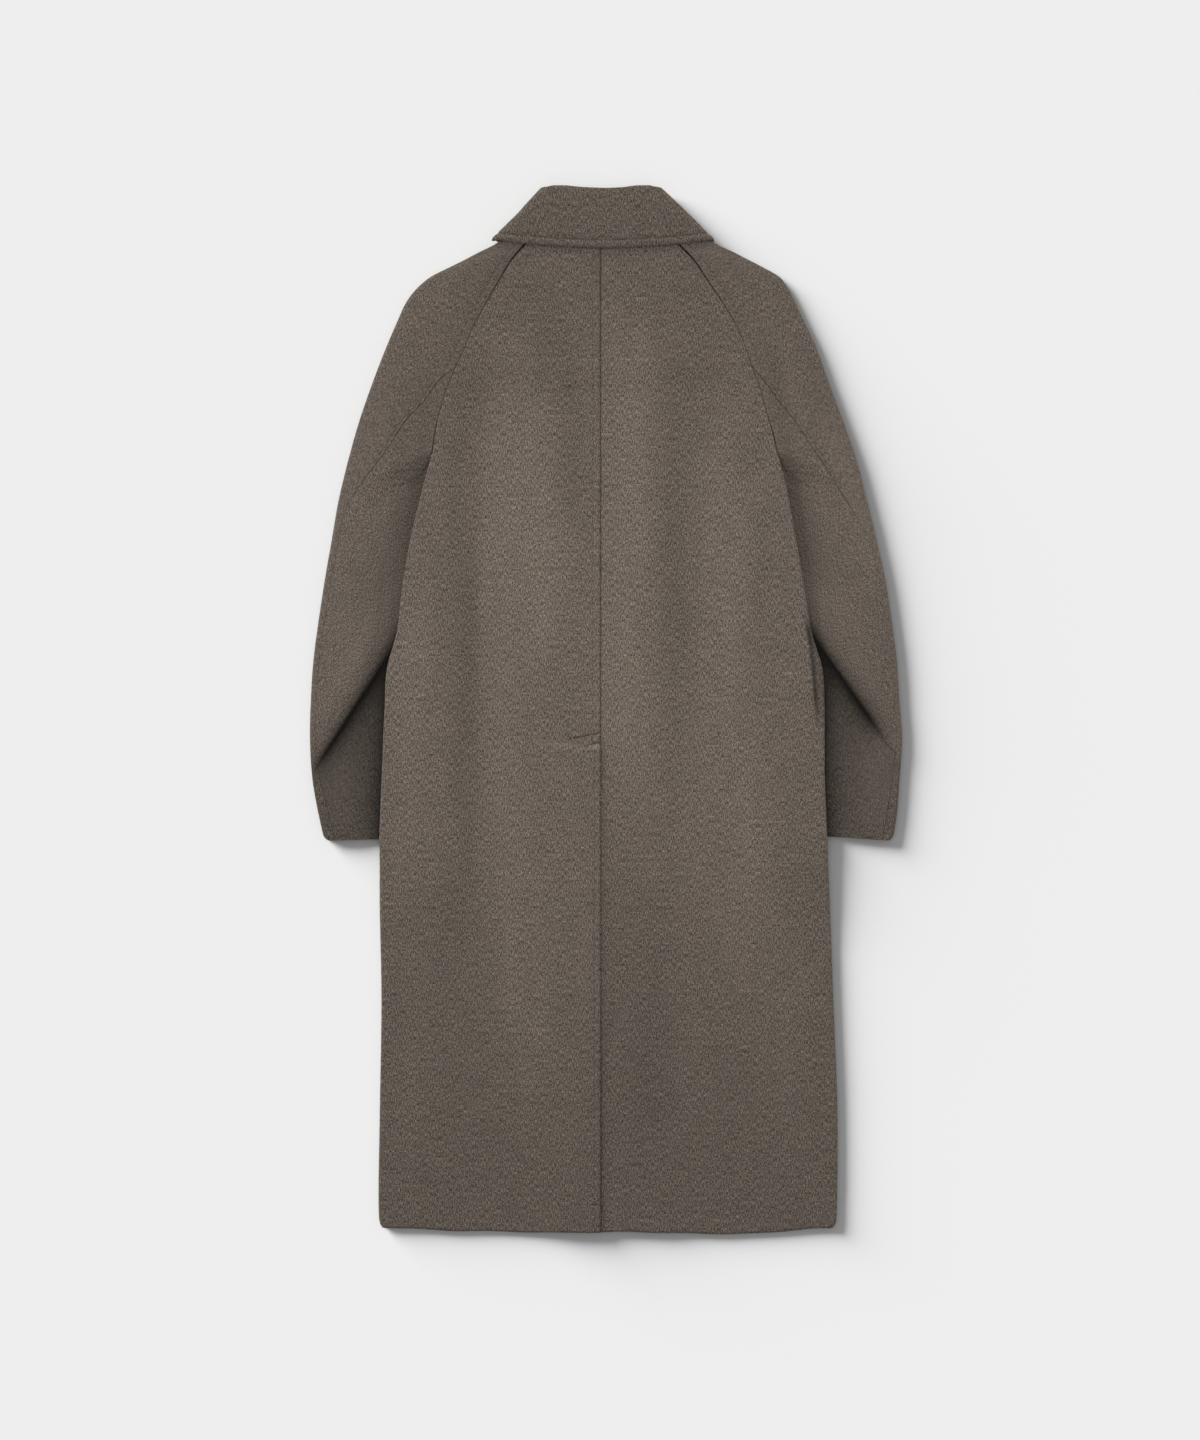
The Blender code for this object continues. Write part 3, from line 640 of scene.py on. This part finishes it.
def sleeve_painted_shading(x, y, side):
    """Painted shade on a sleeve: under and over the elbow fold, in the folds and beside the body, with
    painted light on the folds' ridges.
    """
    inner, outer = np.array(ELBOW[side], float)
    reach = np.hypot(*(outer - inner))
    line = (outer - inner) / reach
    below = (x - inner[0]) * line[1] - (y - inner[1]) * line[0]
    along = ((x - inner[0]) * line[0] + (y - inner[1]) * line[1]) / reach
    fade = ease((ELBOW_END[side] - along) / 0.16)
    under = ease((below + 0.5) / 2.5)
    outwards = ease((x - back_edge[side](y) - 20.0) / 60.0)
    # Painted shade below the elbow fold, with less of it towards the outer side of the forearm
    tone = 0.95 - under * (0.28 - ELBOW_LIT[side] * outwards)
    # Painted shade: below the fold it is darkest at the fold, and above it the cloth gets painted shade as it
    # rolls over
    depth = 22.0 - 13.0 * np.clip((along - 0.42) / 0.58, 0.0, 1.0)
    painted_shading_term = under * np.exp(-np.maximum(below, 0.0) / depth)
    roll_shade = 0.85 * (1.0 - under) * np.exp(np.minimum(below, 0.0) / 8.0) * ease((along - 0.2) / 0.2)
    tone = tone * (1.0 - fade * (painted_shading_term + roll_shade))
    # Painted shade beside the body's edge, which lies over the sleeve
    beside = np.maximum(x - back_edge[side](y), 0.0)
    shade_beside_body = 0.16 * ease((300.0 - y) / 60.0) + 0.54 * ease((below + 14.0) / 22.0)
    tone = tone * (1.0 - shade_beside_body * np.exp(-beside / 15.0)) - painted_shading_bands(x, y, SLEEVE_PAINTED_SHADING_BANDS[side])
    # Painted light on the ridges of the sleeve's folds and painted shade in their troughs
    return np.maximum(tone + 0.04 * np.clip(sleeve_folds(x, y, side), -2.0, 2.0), 0.06)


def crossing(rows, test):
    """First share of the way along each station where a test turns true."""
    u = np.linspace(0.0, 1.0, 401)
    x, y = station_places(rows, u)
    hit = test(x, y)
    first = np.argmax(hit, axis=1)
    return np.where(hit.any(axis=1), u[first], 2.0)


def sleeve(prefix, side):
    """One sleeve in two pieces: the upper piece round the outer edge, and the under piece."""
    rows, places = fine_stations(side)
    span = rows[:, 2:4] - rows[:, 0:2]
    length = np.hypot(span[:, 0], span[:, 1])
    last = 1.0 - 12.0 / length
    top_y, low_y = HIND_SEAM[0][0], HIND_SEAM[-1][0]
    seam = crossing(rows, lambda x, y: (x > hind_seam[side](y)) & (y < top_y) & (y > low_y))
    seam = np.maximum(np.minimum(seam, last), 1.2 / length)
    start = np.where(places >= UNDER_FROM, seam, 0.0)
    top_share = start + SEAM / length
    rim = sleeve_height(np.ones((len(rows), 1)), rows, side)[:, 0]
    floor = lower_height(side * rows[:, 2], rows[:, 3])
    radius = 0.5 * (rim - floor)
    turn_share = 1.0 - radius / length
    reach = turn_share - top_share
    u = top_share[:, None] + reach[:, None] * spread(reach * length, SLEEVE_COLUMNS)
    x, y = station_places(rows, u)
    z = sleeve_height(u, rows, side)
    off = (u - start[:, None]) * length[:, None]
    joined = ease((places - UNDER_FROM) / 0.5)[:, None]
    reach = ease(((1.0 - start) * length - 13.0) / 16.0)[:, None]
    z = z - reach * (0.25 + 0.45 * joined) * bump(off, 1.0)
    z = z - 0.35 * (1 - joined) * (bump(off - RAGLAN_TOPSTITCH, 1.1) - 0.8 * bump(off - 5.0, 2.6))
    shown = ease(((1.0 - start[:, None]) * length[:, None] - 26.0) / 20.0)
    z = z - 0.40 * joined * shown * (bump(off - HIND_TOPSTITCH, 1.0) - 0.6 * bump(off - 3.2, 2.0))
    out = span / length[:, None]
    flat = rows[:, 2:4] - out * radius[:, None]
    ring = flat[:, None, :] + out[:, None, :] * radius[:, None, None] * np.cos(TURN)[:, :, None]
    ring_z = (floor + radius)[:, None] + radius[:, None] * np.sin(TURN)
    share = (np.arange(1, SLEEVE_UNDERSIDE_COLUMNS + 1) / SLEEVE_UNDERSIDE_COLUMNS)[None, :, None]
    end = np.stack((rows[:, 4] + 2.0 * SEAM, rows[:, 5]), axis=1)
    under = flat[:, None, :] + (end - flat)[:, None, :] * share
    under_z = lower_height(under[:, :, 0], under[:, :, 1])
    xy = np.concatenate((np.stack((x, y), axis=2), ring, under), axis=1)
    grid = np.concatenate((xy, np.concatenate((z, ring_z, under_z), axis=1)[:, :, None]), axis=2)
    cuff = rows[-1]
    from_cuff = grid[:, :, 1] - cuff[1]
    from_cuff = from_cuff - (cuff[3] - cuff[1]) * (grid[:, :, 0] - cuff[0]) / (cuff[2] - cuff[0])
    from_edge = outline[side](np.maximum(grid[:, :, 1], cuff[3])) - grid[:, :, 0]
    inward, upward = rounded(from_edge, from_cuff, CUFF_CORNER)
    grid[:, :, 0] -= inward
    grid[:, :, 1] += upward
    upper = finish_sleeve(prefix + "_upper_cloth", grid, side)

    sewn = []
    for away, chosen in ((RAGLAN_TOPSTITCH, (places > 0.6) & (places < UNDER_FROM - 0.1)),
                         (HIND_TOPSTITCH, (places > UNDER_FROM + 0.3) & ((1.0 - start) * length > 40.0))):
        some = rows[chosen]
        at = (start[chosen] + away / length[chosen])[:, None]
        x, y = station_places(some, at)
        z = sleeve_height(at, some, side) - THREAD_DEPTH
        sewn.append(np.concatenate((side * x, y, z), axis=1).tolist())

    keep = places >= UNDER_FROM
    rows, seam, length = rows[keep], seam[keep], length[keep]
    clear = crossing(rows, lambda x, y: x > back_edge[side](y))
    clear = np.minimum(np.maximum(clear, 0.02), 0.4 * seam)
    first = SEAM / length
    hidden = first[:, None] + (clear - first)[:, None] * (np.arange(8) / 8.0)[None, :]
    width = seam - 2 * SEAM / length - clear
    shown = clear[:, None] + width[:, None] * np.linspace(0.0, 1.0, 44)[None, :] ** 0.9
    u = np.concatenate((hidden, shown), axis=1)
    x, y = station_places(rows, u)
    z = sleeve_height(u, rows, side)
    reach = ease(((1.0 - seam) * length - 13.0) / 16.0)[:, None]
    z = z - 0.9 * reach * bump((seam[:, None] - u) * length[:, None], 1.2)
    return upper, finish_sleeve(prefix + "_under_cloth", np.stack((x, y, z), axis=2), side), sewn


def finish_sleeve(name, grid, side):
    """A sleeve piece from its grid, with the grain along the arm."""
    grain = grid_lengths(grid)
    middle = grid.shape[1] // 3
    down = np.repeat(grain[1][:, middle:middle + 1], grid.shape[1], axis=1)
    nap = sleeve_painted_shading(grid[:, :, 0], grid[:, :, 1], side)
    grid = grid * (side, 1.0, 1.0)
    # The right sleeve is a mirror image, so its columns run the other way
    return wall(name, grid[:, ::-side], (grain[0][:, ::-side], down[:, ::-side]), nap[:, ::-side])


def collar(name):
    """One collar piece: a stand from the neck seam to the roll, and a fall from there to the outer edge."""
    half = np.array(COLLAR)
    step = np.diff(half, axis=0)
    gaps = np.maximum(np.hypot(step[:, 4], step[:, 5]), COLLAR_ARC * np.abs(step[:, 6]))
    fine = smoothed(half, divided(gaps, COLLAR_STEP, 3))
    around = np.vstack((fine, fine[-2::-1]))
    side = np.concatenate((-np.ones(len(fine)), np.ones(len(fine) - 1)))
    swing = np.radians(around[:, 6])
    neck, roll, fall = around[:, 0:2], around[:, 2:4], around[:, 4:6]
    out = np.array((0.80, 0.60))[None, :] * np.sin(swing)[:, None]
    up = (roll - neck) / np.linalg.norm(roll - neck, axis=1, keepdims=True)
    half_wall = 0.5 * CLOTH
    radius = 0.5 * LAYER + half_wall
    places_across, levels, pulls = [], [], []
    for share in np.linspace(0.0, 1.0, 9)[:-1]:
        start = neck + up * SEAM
        places_across.append(start + (roll - up * radius - start) * share)
        levels.append(STAND_LEVEL - half_wall)
        pulls.append(share)
    for bend in np.radians(np.linspace(0.0, 180.0, 13)):
        places_across.append(roll - up * radius + up * radius * math.sin(bend))
        levels.append(STAND_LEVEL + 0.5 * LAYER - radius * math.cos(bend))
        pulls.append(1.0)
    width = float(np.median(np.linalg.norm(fall - roll, axis=1)))
    last = 1.0 - np.array((5.0, 3.6, 2.4, 1.4, 0.6, 0.0)) / width
    shares = np.concatenate((np.linspace(0.06, 0.9, 26), last))
    first_fall = len(levels)
    back_share = 0.5 + 0.5 * np.cos(swing)
    for share in shares:
        away = (1.0 - share) * width
        start = roll - up * radius
        places_across.append(start + (fall - start) * share)
        dent = -0.7 * bump(away - COLLAR_TOPSTITCH, 1.3) + 0.6 * bump(away - 5.0, 3.2)
        edge = -1.0 * bump(away, 0.9)
        body = 1.6 * math.sin(math.pi * min(1.0, share)) ** 0.8
        levels.append(FALL_LEVEL + half_wall + dent + edge + body * back_share)
        pulls.append(1.0 - 0.8 * share)
    grid = np.zeros((len(around), len(places_across), 3))
    for k, (place, level, pull) in enumerate(zip(places_across, levels, pulls)):
        level = np.broadcast_to(level, (len(around),))
        flat = place + out * level[:, None]
        wider = COLLAR_SPREAD * ease((flat[:, 0] - neck[:, 0]) / 30.0) * ease(np.cos(swing) * 3.0)
        drawn_in = COLLAR_PULL * pull * ease(flat[:, 0] / 50.0) * ease(np.cos(swing) + 1.0)
        grid[:, k, 0] = side * (flat[:, 0] + np.where(side < 0, wider, -drawn_in))
        grid[:, k, 1] = flat[:, 1]
        grid[:, k, 2] = np.maximum(0.0, COLLAR_MID + level * np.cos(swing))
    lengths = grid_lengths(grid)
    away = (1.0 - shares) * width
    # Painted shade: the stand, under the fall, a little darker, and the fall darker along its topstitching
    # groove
    tone = np.concatenate((np.full(first_fall, 0.92), 0.95 - 0.22 * bump(away - COLLAR_TOPSTITCH, 1.2)))
    column_at = first_fall + int(np.argmin(np.abs(away - COLLAR_TOPSTITCH)))
    seen = np.cos(swing) > 0.6
    sewn = grid[seen][1:-1, column_at] + (0.0, 0.0, 0.1)
    return wall(name, grid, (grid[:, :, 0] * MM, lengths[0]), tone[None, :]), sewn.tolist()


def srgb(code):
    """Linear colour from an sRGB hex code."""
    values = [int(code[i:i + 2], 16) / 255.0 for i in (1, 3, 5)]
    return tuple(v / 12.92 if v <= 0.04045 else ((v + 0.055) / 1.055) ** 2.4 for v in values) + (1.0,)


def node(tree, kind, settings=None, links=None, values=None):
    """Adds a node, sets its properties and input values, and links its inputs."""
    made = tree.nodes.new(kind)
    for key, value in (settings or {}).items():
        setattr(made, key, value)
    for key, value in (values or {}).items():
        made.inputs[key].default_value = value
    for key, source in (links or {}).items():
        tree.links.new(source, made.inputs[key])
    return made


def blank_material(name, values):
    """A new material with its node tree and its shader, some of whose values are set."""
    material = bpy.data.materials.new(name)
    material.use_nodes = True
    shader = material.node_tree.nodes["Principled BSDF"]
    for key, value in values.items():
        shader.inputs[key].default_value = value
    return material, material.node_tree, shader


# The wool's pattern, as counts to a millimetre across the cloth and along its grain. Single fibres, 0.03 mm
# thick, are too fine to show, so they are drawn as streaks of 0.65 by 2 mm and 0.95 by 5 mm
STREAKS_PER_MM = (1.55, 0.48)
LONG_STREAKS_PER_MM = (1.05, 0.20)
FLECKS_PER_MM = (0.42, 0.15)
CLOUDS_PER_MM = (0.060, 0.034)


def melange_wool(name, dark, middle, light, cool):
    """Milled melange wool coating, brushed along the warp: short soft streaks of mixed fibre, matt, with a
    faint light sheen from its raised fibre. Some flecks are cooler. A per-point tone darkens the colour and
    sheen with painted shade in folds, hollows and seams, and lightens it with painted light on ridges."""
    material, tree, shader = blank_material(name, {
        "Specular IOR Level": 0.18, "Sheen Roughness": 0.45, "Sheen Tint": srgb("#D8CFC4")})
    grain = node(tree, "ShaderNodeUVMap", {"uv_map": "grain"}).outputs["UV"]
    noise = {}
    for part, counts, place, settings in (
            ("streak", STREAKS_PER_MM, (0.0, 0.0), {"Detail": 2.0, "Roughness": 0.75, "Distortion": 0.08}),
            ("fleck", FLECKS_PER_MM, (7.3, 2.1), {"Detail": 1.5, "Roughness": 0.5}),
            ("cloud", CLOUDS_PER_MM, (0.0, 0.0), {"Detail": 3.0, "Roughness": 0.6}),
            ("long", LONG_STREAKS_PER_MM, (1.7, 5.9), {"Detail": 2.0, "Roughness": 0.6})):
        mapped = node(tree, "ShaderNodeMapping", links={"Vector": grain},
                      values={"Scale": (counts[0] / MM, counts[1] / MM, 1.0), "Location": (*place, 0.0)})
        made = node(tree, "ShaderNodeTexNoise", links={"Vector": mapped.outputs[0]},
                    values={"Scale": 1.0, **settings})
        noise[part] = made.outputs["Fac"]
    fibres = node(tree, "ShaderNodeMath", {"operation": "MULTIPLY_ADD"},
                  links={0: noise["long"], 2: noise["streak"]}, values={1: 0.65})
    contrast = node(tree, "ShaderNodeMapRange", links={"Value": fibres.outputs[0]},
                    values={"From Min": 0.69, "From Max": 0.965})
    ramp = node(tree, "ShaderNodeValToRGB", links={"Fac": contrast.outputs[0]})
    ramp.color_ramp.elements[0].color = srgb(dark)
    ramp.color_ramp.elements[1].color = srgb(light)
    ramp.color_ramp.elements.new(0.50).color = srgb(middle)
    cool_amount = node(tree, "ShaderNodeMapRange", links={"Value": noise["fleck"]},
                       values={"From Min": 0.56, "From Max": 0.72, "To Min": 0.0, "To Max": 0.55})
    # Inputs 0, 6 and 7 and output 2 of a colour mix are its share, its two colours and its result
    flecked = node(tree, "ShaderNodeMix", {"data_type": "RGBA"}, values={7: srgb(cool)},
                   links={0: cool_amount.outputs[0], 6: ramp.outputs["Color"]})
    shade = node(tree, "ShaderNodeMapRange", links={"Value": noise["cloud"]},
                 values={"From Min": 0.3, "From Max": 0.7, "To Min": 0.93, "To Max": 1.07})
    # Painted light and shade per point, read from the mesh
    nap = node(tree, "ShaderNodeAttribute", {"attribute_name": "nap"}).outputs["Fac"]
    # Random cloudy mottling of the wool times the painted light and shade
    mottle_and_painted_shading = node(tree, "ShaderNodeMath", {"operation": "MULTIPLY"}, links={0: shade.outputs[0], 1: nap})
    tinted = node(tree, "ShaderNodeVectorMath", {"operation": "SCALE"},
                  links={0: flecked.outputs[2], "Scale": mottle_and_painted_shading.outputs[0]})
    rough = node(tree, "ShaderNodeMapRange", links={"Value": noise["streak"]},
                 values={"From Min": 0.3, "From Max": 0.7, "To Min": 0.9, "To Max": 1.0})
    raised = node(tree, "ShaderNodeBump", links={"Height": noise["streak"]},
                  values={"Strength": 0.55, "Distance": 0.0009})
    # The sheen falls off fast with the painted shading, so where shade is painted the sheen goes too and the
    # painted shade stays dark
    painted_shading_term = node(tree, "ShaderNodeMath", {"operation": "POWER"}, links={0: nap}, values={1: 3.0})
    sheen = node(tree, "ShaderNodeMath", {"operation": "MULTIPLY"}, links={0: painted_shading_term.outputs[0]},
                 values={1: 0.30})
    found = {"Base Color": tinted, "Roughness": rough, "Normal": raised, "Sheen Weight": sheen}
    for socket, source in found.items():
        tree.links.new(source.outputs[0], shader.inputs[socket])
    return material


def sewing_thread(name, code):
    """Spun polyester thread, dyed to the cloth: a soft satin that catches little light."""
    material, tree, shader = blank_material(name, {"Roughness": 0.7, "Specular IOR Level": 0.3})
    place = node(tree, "ShaderNodeTexCoord").outputs["Object"]
    twist = node(tree, "ShaderNodeTexNoise", links={"Vector": place},
                 values={"Scale": 1800.0, "Detail": 1.0})
    tone = node(tree, "ShaderNodeMapRange", links={"Value": twist.outputs["Fac"]},
                values={"From Min": 0.3, "From Max": 0.7, "To Min": 0.75, "To Max": 1.2})
    tint = node(tree, "ShaderNodeVectorMath", {"operation": "SCALE"}, links={"Scale": tone.outputs[0]})
    tint.inputs[0].default_value = srgb(code)[:3]
    tree.links.new(tint.outputs[0], shader.inputs["Base Color"])
    return material


def stitch_tree(thread):
    """Geometry Nodes: one short round stitch laid along a path at each pitch."""
    tree = bpy.data.node_groups.new("topstitching", "GeometryNodeTree")
    face = tree.interface
    face.new_socket("Path", in_out="INPUT", socket_type="NodeSocketGeometry")
    sizes = {}
    for label, size in STITCH_SIZES:
        socket = face.new_socket(label, in_out="INPUT", socket_type="NodeSocketFloat")
        socket.default_value = size * MM
        sizes[label] = socket.identifier
    face.new_socket("Stitches", in_out="OUTPUT", socket_type="NodeSocketGeometry")
    given = node(tree, "NodeGroupInput")
    curve = node(tree, "GeometryNodeMeshToCurve", links={"Mesh": given.outputs["Path"]})
    spaced = node(tree, "GeometryNodeCurveToPoints", {"mode": "LENGTH"},
                  links={"Curve": curve.outputs[0], "Length": given.outputs["Pitch"]})
    half = node(tree, "ShaderNodeMath", {"operation": "MULTIPLY"}, links={0: given.outputs["Thread"]},
                values={1: 0.5})
    capsule = node(tree, "GeometryNodeMeshUVSphere", links={"Radius": half.outputs[0]},
                   values={"Segments": 6, "Rings": 4})
    stretch = node(tree, "ShaderNodeMath", {"operation": "DIVIDE"},
                   links={0: given.outputs["Stitch length"], 1: given.outputs["Thread"]})
    scale = node(tree, "ShaderNodeCombineXYZ", links={"Z": stretch.outputs[0]}, values={"X": 1.0, "Y": 1.0})
    copies = node(tree, "GeometryNodeInstanceOnPoints",
                  links={"Points": spaced.outputs["Points"], "Instance": capsule.outputs["Mesh"],
                         "Rotation": spaced.outputs["Rotation"], "Scale": scale.outputs[0]})
    real = node(tree, "GeometryNodeRealizeInstances", links={"Geometry": copies.outputs[0]})
    finish = node(tree, "GeometryNodeSetMaterial", links={"Geometry": real.outputs[0]})
    finish.inputs["Material"].default_value = thread
    node(tree, "NodeGroupOutput", links={"Stitches": finish.outputs[0]})
    return tree, sizes


def stitch_row(name, tree, sizes, paths):
    """Rows of stitches along paths of points in millimetres, as one plain mesh."""
    points, edges = [], []
    for path in paths:
        base = len(points)
        points += [tuple(p * MM for p in point) for point in path]
        edges += [(base + i, base + i + 1) for i in range(len(path) - 1)]
    mesh = bpy.data.meshes.new(name + "_path")
    mesh.from_pydata(points, edges, [])
    piece = placed(name, mesh)
    modifier = piece.modifiers.new("topstitching", "NODES")
    modifier.node_group = tree
    for label, size in STITCH_SIZES:
        modifier[sizes[label]] = size * MM
    bpy.context.view_layer.update()
    made = bpy.data.meshes.new_from_object(piece.evaluated_get(bpy.context.evaluated_depsgraph_get()))
    made.name = name
    piece.modifiers.remove(modifier)
    piece.data = made
    piece.data.shade_smooth()
    return piece


def sampled(count, place):
    """Points of a path, from a function of the share of the way along it."""
    return [place(k / (count - 1.0)) for k in range(count)]


def back_point(x, y, side):
    """A point just above the face of the back, where a stitch lies."""
    x, y = np.array(x), np.array(y)
    return float(x), float(y), float(back_height(x, y, side) + back_sewing(x, y, side)) + 0.05


# A low soft key from the upper left throws the coat's shadow on the floor. The others light the cloth
SKY = 0.30
LAMPS = (
    # name, azimuth, elevation, strength, angle, what it lights
    ("floor_key", 144.0, 9.5, 12.0, 36.0, "floor"),
    ("top_key", 98.0, 18.0, 1.45, 10.0, "cloth"),
    ("left_side", 162.0, 20.0, 1.15, 16.0, "cloth"),
    ("right_side", 20.0, 20.0, 0.62, 16.0, "cloth"),
)
# A soft box over the upper half, because the light falls off down the coat
SOFT_BOX_AT = (-0.02, 0.14, 0.56)
SOFT_BOX_SIZE = (0.9, 0.5)
SOFT_BOX_POWER = 1.5


def add_lights(cloth_pieces, floor):
    """White sky, the lamps and the soft box, each lighting only what it is for."""
    world = bpy.data.worlds.new("studio")
    bpy.context.scene.world = world
    world.use_nodes = True
    background = world.node_tree.nodes["Background"]
    background.inputs["Color"].default_value = (1.0, 1.0, 1.0, 1.0)
    background.inputs["Strength"].default_value = SKY
    lit = {}
    for name, pieces in (("cloth", cloth_pieces), ("floor", [floor])):
        lit[name] = bpy.data.collections.new("lit " + name)
        for piece in pieces:
            lit[name].objects.link(piece)
    for name, azimuth, elevation, strength, spread_angle, receiver in LAMPS:
        lamp = bpy.data.lights.new(name, "SUN")
        lamp.energy = strength
        lamp.angle = math.radians(spread_angle)
        holder = placed(name, lamp)
        holder.rotation_euler = (0.0, math.radians(90.0 - elevation), math.radians(azimuth))
        holder.light_linking.receiver_collection = lit[receiver]
    lamp = bpy.data.lights.new("soft_box", "AREA")
    lamp.shape = "RECTANGLE"
    lamp.size, lamp.size_y = SOFT_BOX_SIZE
    lamp.energy = SOFT_BOX_POWER
    holder = placed("soft_box", lamp)
    holder.location = SOFT_BOX_AT
    holder.light_linking.receiver_collection = lit["cloth"]


FLOOR_HALF = 6.0
FLOOR_LEVEL = -0.0003


def add_floor():
    """Pale matt floor, just below the coat, in metres."""
    mesh = bpy.data.meshes.new("studio_floor")
    ends = ((-1, -1), (1, -1), (1, 1), (-1, 1))
    mesh.from_pydata([(x * FLOOR_HALF, y * FLOOR_HALF, FLOOR_LEVEL) for x, y in ends], [], [(0, 1, 2, 3)])
    floor = placed("studio_floor", mesh)
    values = {"Base Color": srgb("#F1F1F1"), "Roughness": 1.0, "Specular IOR Level": 0.0}
    mesh.materials.append(blank_material("painted studio floor", values)[0])
    return floor


# The photo's frame: 1.15 mm to a pixel, its centre a little off the coat's
PHOTO_SCALE = 1.15
PHOTO_HEIGHT_PX = 1440
CAMERA_X = -6.9
CAMERA_Y = -10.9
CAMERA_HEIGHT = 4000.0
CLOTH_LEVEL = 10.0
SENSOR = (30.0, 36.0)


def add_camera():
    """Camera straight above the coat, with the photo's scale at the height of the cloth."""
    lens = bpy.data.cameras.new("camera")
    lens.sensor_fit = "VERTICAL"
    lens.sensor_width, lens.sensor_height = SENSOR
    lens.lens = SENSOR[1] * (CAMERA_HEIGHT - CLOTH_LEVEL) / (PHOTO_SCALE * PHOTO_HEIGHT_PX)
    lens.clip_end = 100.0
    camera = placed("camera", lens)
    camera.location = (CAMERA_X * MM, CAMERA_Y * MM, CAMERA_HEIGHT * MM)
    bpy.context.scene.camera = camera


# Each cut piece: its slot, the flat size in metres of the whole cut, and what it lies on
SHEETS = {
    "back_left": ("body_cloth", (0.285, 1.163), ["front_left"]),
    "back_right": ("body_cloth", (0.325, 1.163), ["front_right"]),
    "front_left": ("body_cloth", (0.285, 1.087), []),
    "front_right": ("body_cloth", (0.290, 1.087), ["front_left"]),
    "sleeve_left_upper": ("sleeve_cloth", (0.36, 0.75), []),
    "sleeve_left_under": ("sleeve_cloth", (0.17, 0.56), ["sleeve_left_upper"]),
    "sleeve_right_upper": ("sleeve_cloth", (0.36, 0.75), []),
    "sleeve_right_under": ("sleeve_cloth", (0.17, 0.56), ["sleeve_right_upper"]),
    "collar": ("collar_cloth", (0.56, 0.12), ["back_left", "back_right"]),
}
# The wool of each slot, all from one cloth: darkest, middle and lightest fibre, and the cool flecks
WOOL = {
    "body_cloth": ("melange wool cloth of the body", "#3B342F", "#6A6056", "#9C8F83", "#55565C"),
    "sleeve_cloth": ("melange wool cloth of the sleeves", "#3A332E", "#695F55", "#998C80", "#54555B"),
    "collar_cloth": ("melange wool cloth of the collar", "#39322D", "#685E54", "#968A7E", "#53545A"),
}
# Where the topstitching beside the centre seam and beside the vent starts and how far down it runs
CENTRE_STITCHES = (528.0, VENT_TOP_Y - 526.0)
VENT_STITCHES = (-50.0, HEM_Y + 56.0)
STITCH_SAMPLES = 240
TACK_SAMPLES = 24


def dress():
    """Makes and places every piece of the coat, and gives them back as a list."""
    wool = {slot: melange_wool(*colours) for slot, colours in WOOL.items()}
    thread = sewing_thread("polyester sewing thread", "#4A423B")
    made = {
        "back_left": back("back_left_cloth", -1),
        "back_right": back("back_right_cloth", 1),
        "front_left": front("front_left_cloth", -1),
        "front_right": front("front_right_cloth", 1),
    }
    sewn = []
    for name, side in (("sleeve_left", -1), ("sleeve_right", 1)):
        made[name + "_upper"], made[name + "_under"], rows = sleeve(name, side)
        sewn += rows
    made["collar"], collar_row = collar("collar_cloth")
    for target, piece in made.items():
        slot, flat, rests_on = SHEETS[target]
        piece.data.materials.append(wool[slot])
        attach(piece, "root")
        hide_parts(target)
    lines = []
    for away, (top, down) in ((CENTRE_TOPSTITCH, CENTRE_STITCHES), (VENT_TOPSTITCH, VENT_STITCHES)):
        lines.append(sampled(STITCH_SAMPLES, lambda t: back_point(CENTRE_X - away, top + down * t, -1)))
    tacks = [sampled(TACK_SAMPLES, lambda t: back_point(*(a + (b - a) * t), -1)) for a, b in np.array(TACKS)]
    # A darker copy of the thread for the vent tacks, with painted shade of the holes the stitches sink into
    painted_shade_thread = sewing_thread("polyester sewing thread in the shade of its holes", "#2E2823")
    light, dark = stitch_tree(thread), stitch_tree(painted_shade_thread)
    done = []
    for name, made_with, rows, slot in (
            ("back_topstitching", light, lines, "body_cloth"),
            ("vent_tack_stitches", dark, tacks, "body_cloth"),
            ("sleeve_topstitching", light, sewn, "sleeve_cloth"),
            ("collar_topstitching", light, [collar_row], "collar_cloth")):
        stitches = stitch_row(name, *made_with, rows)
        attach(stitches, "root")
        done.append(stitches)
    return list(made.values()) + done


coat = dress()
add_lights(coat, add_floor())
add_camera()
scene = bpy.context.scene
scene.view_settings.view_transform = "Standard"
scene.view_settings.look = "None"
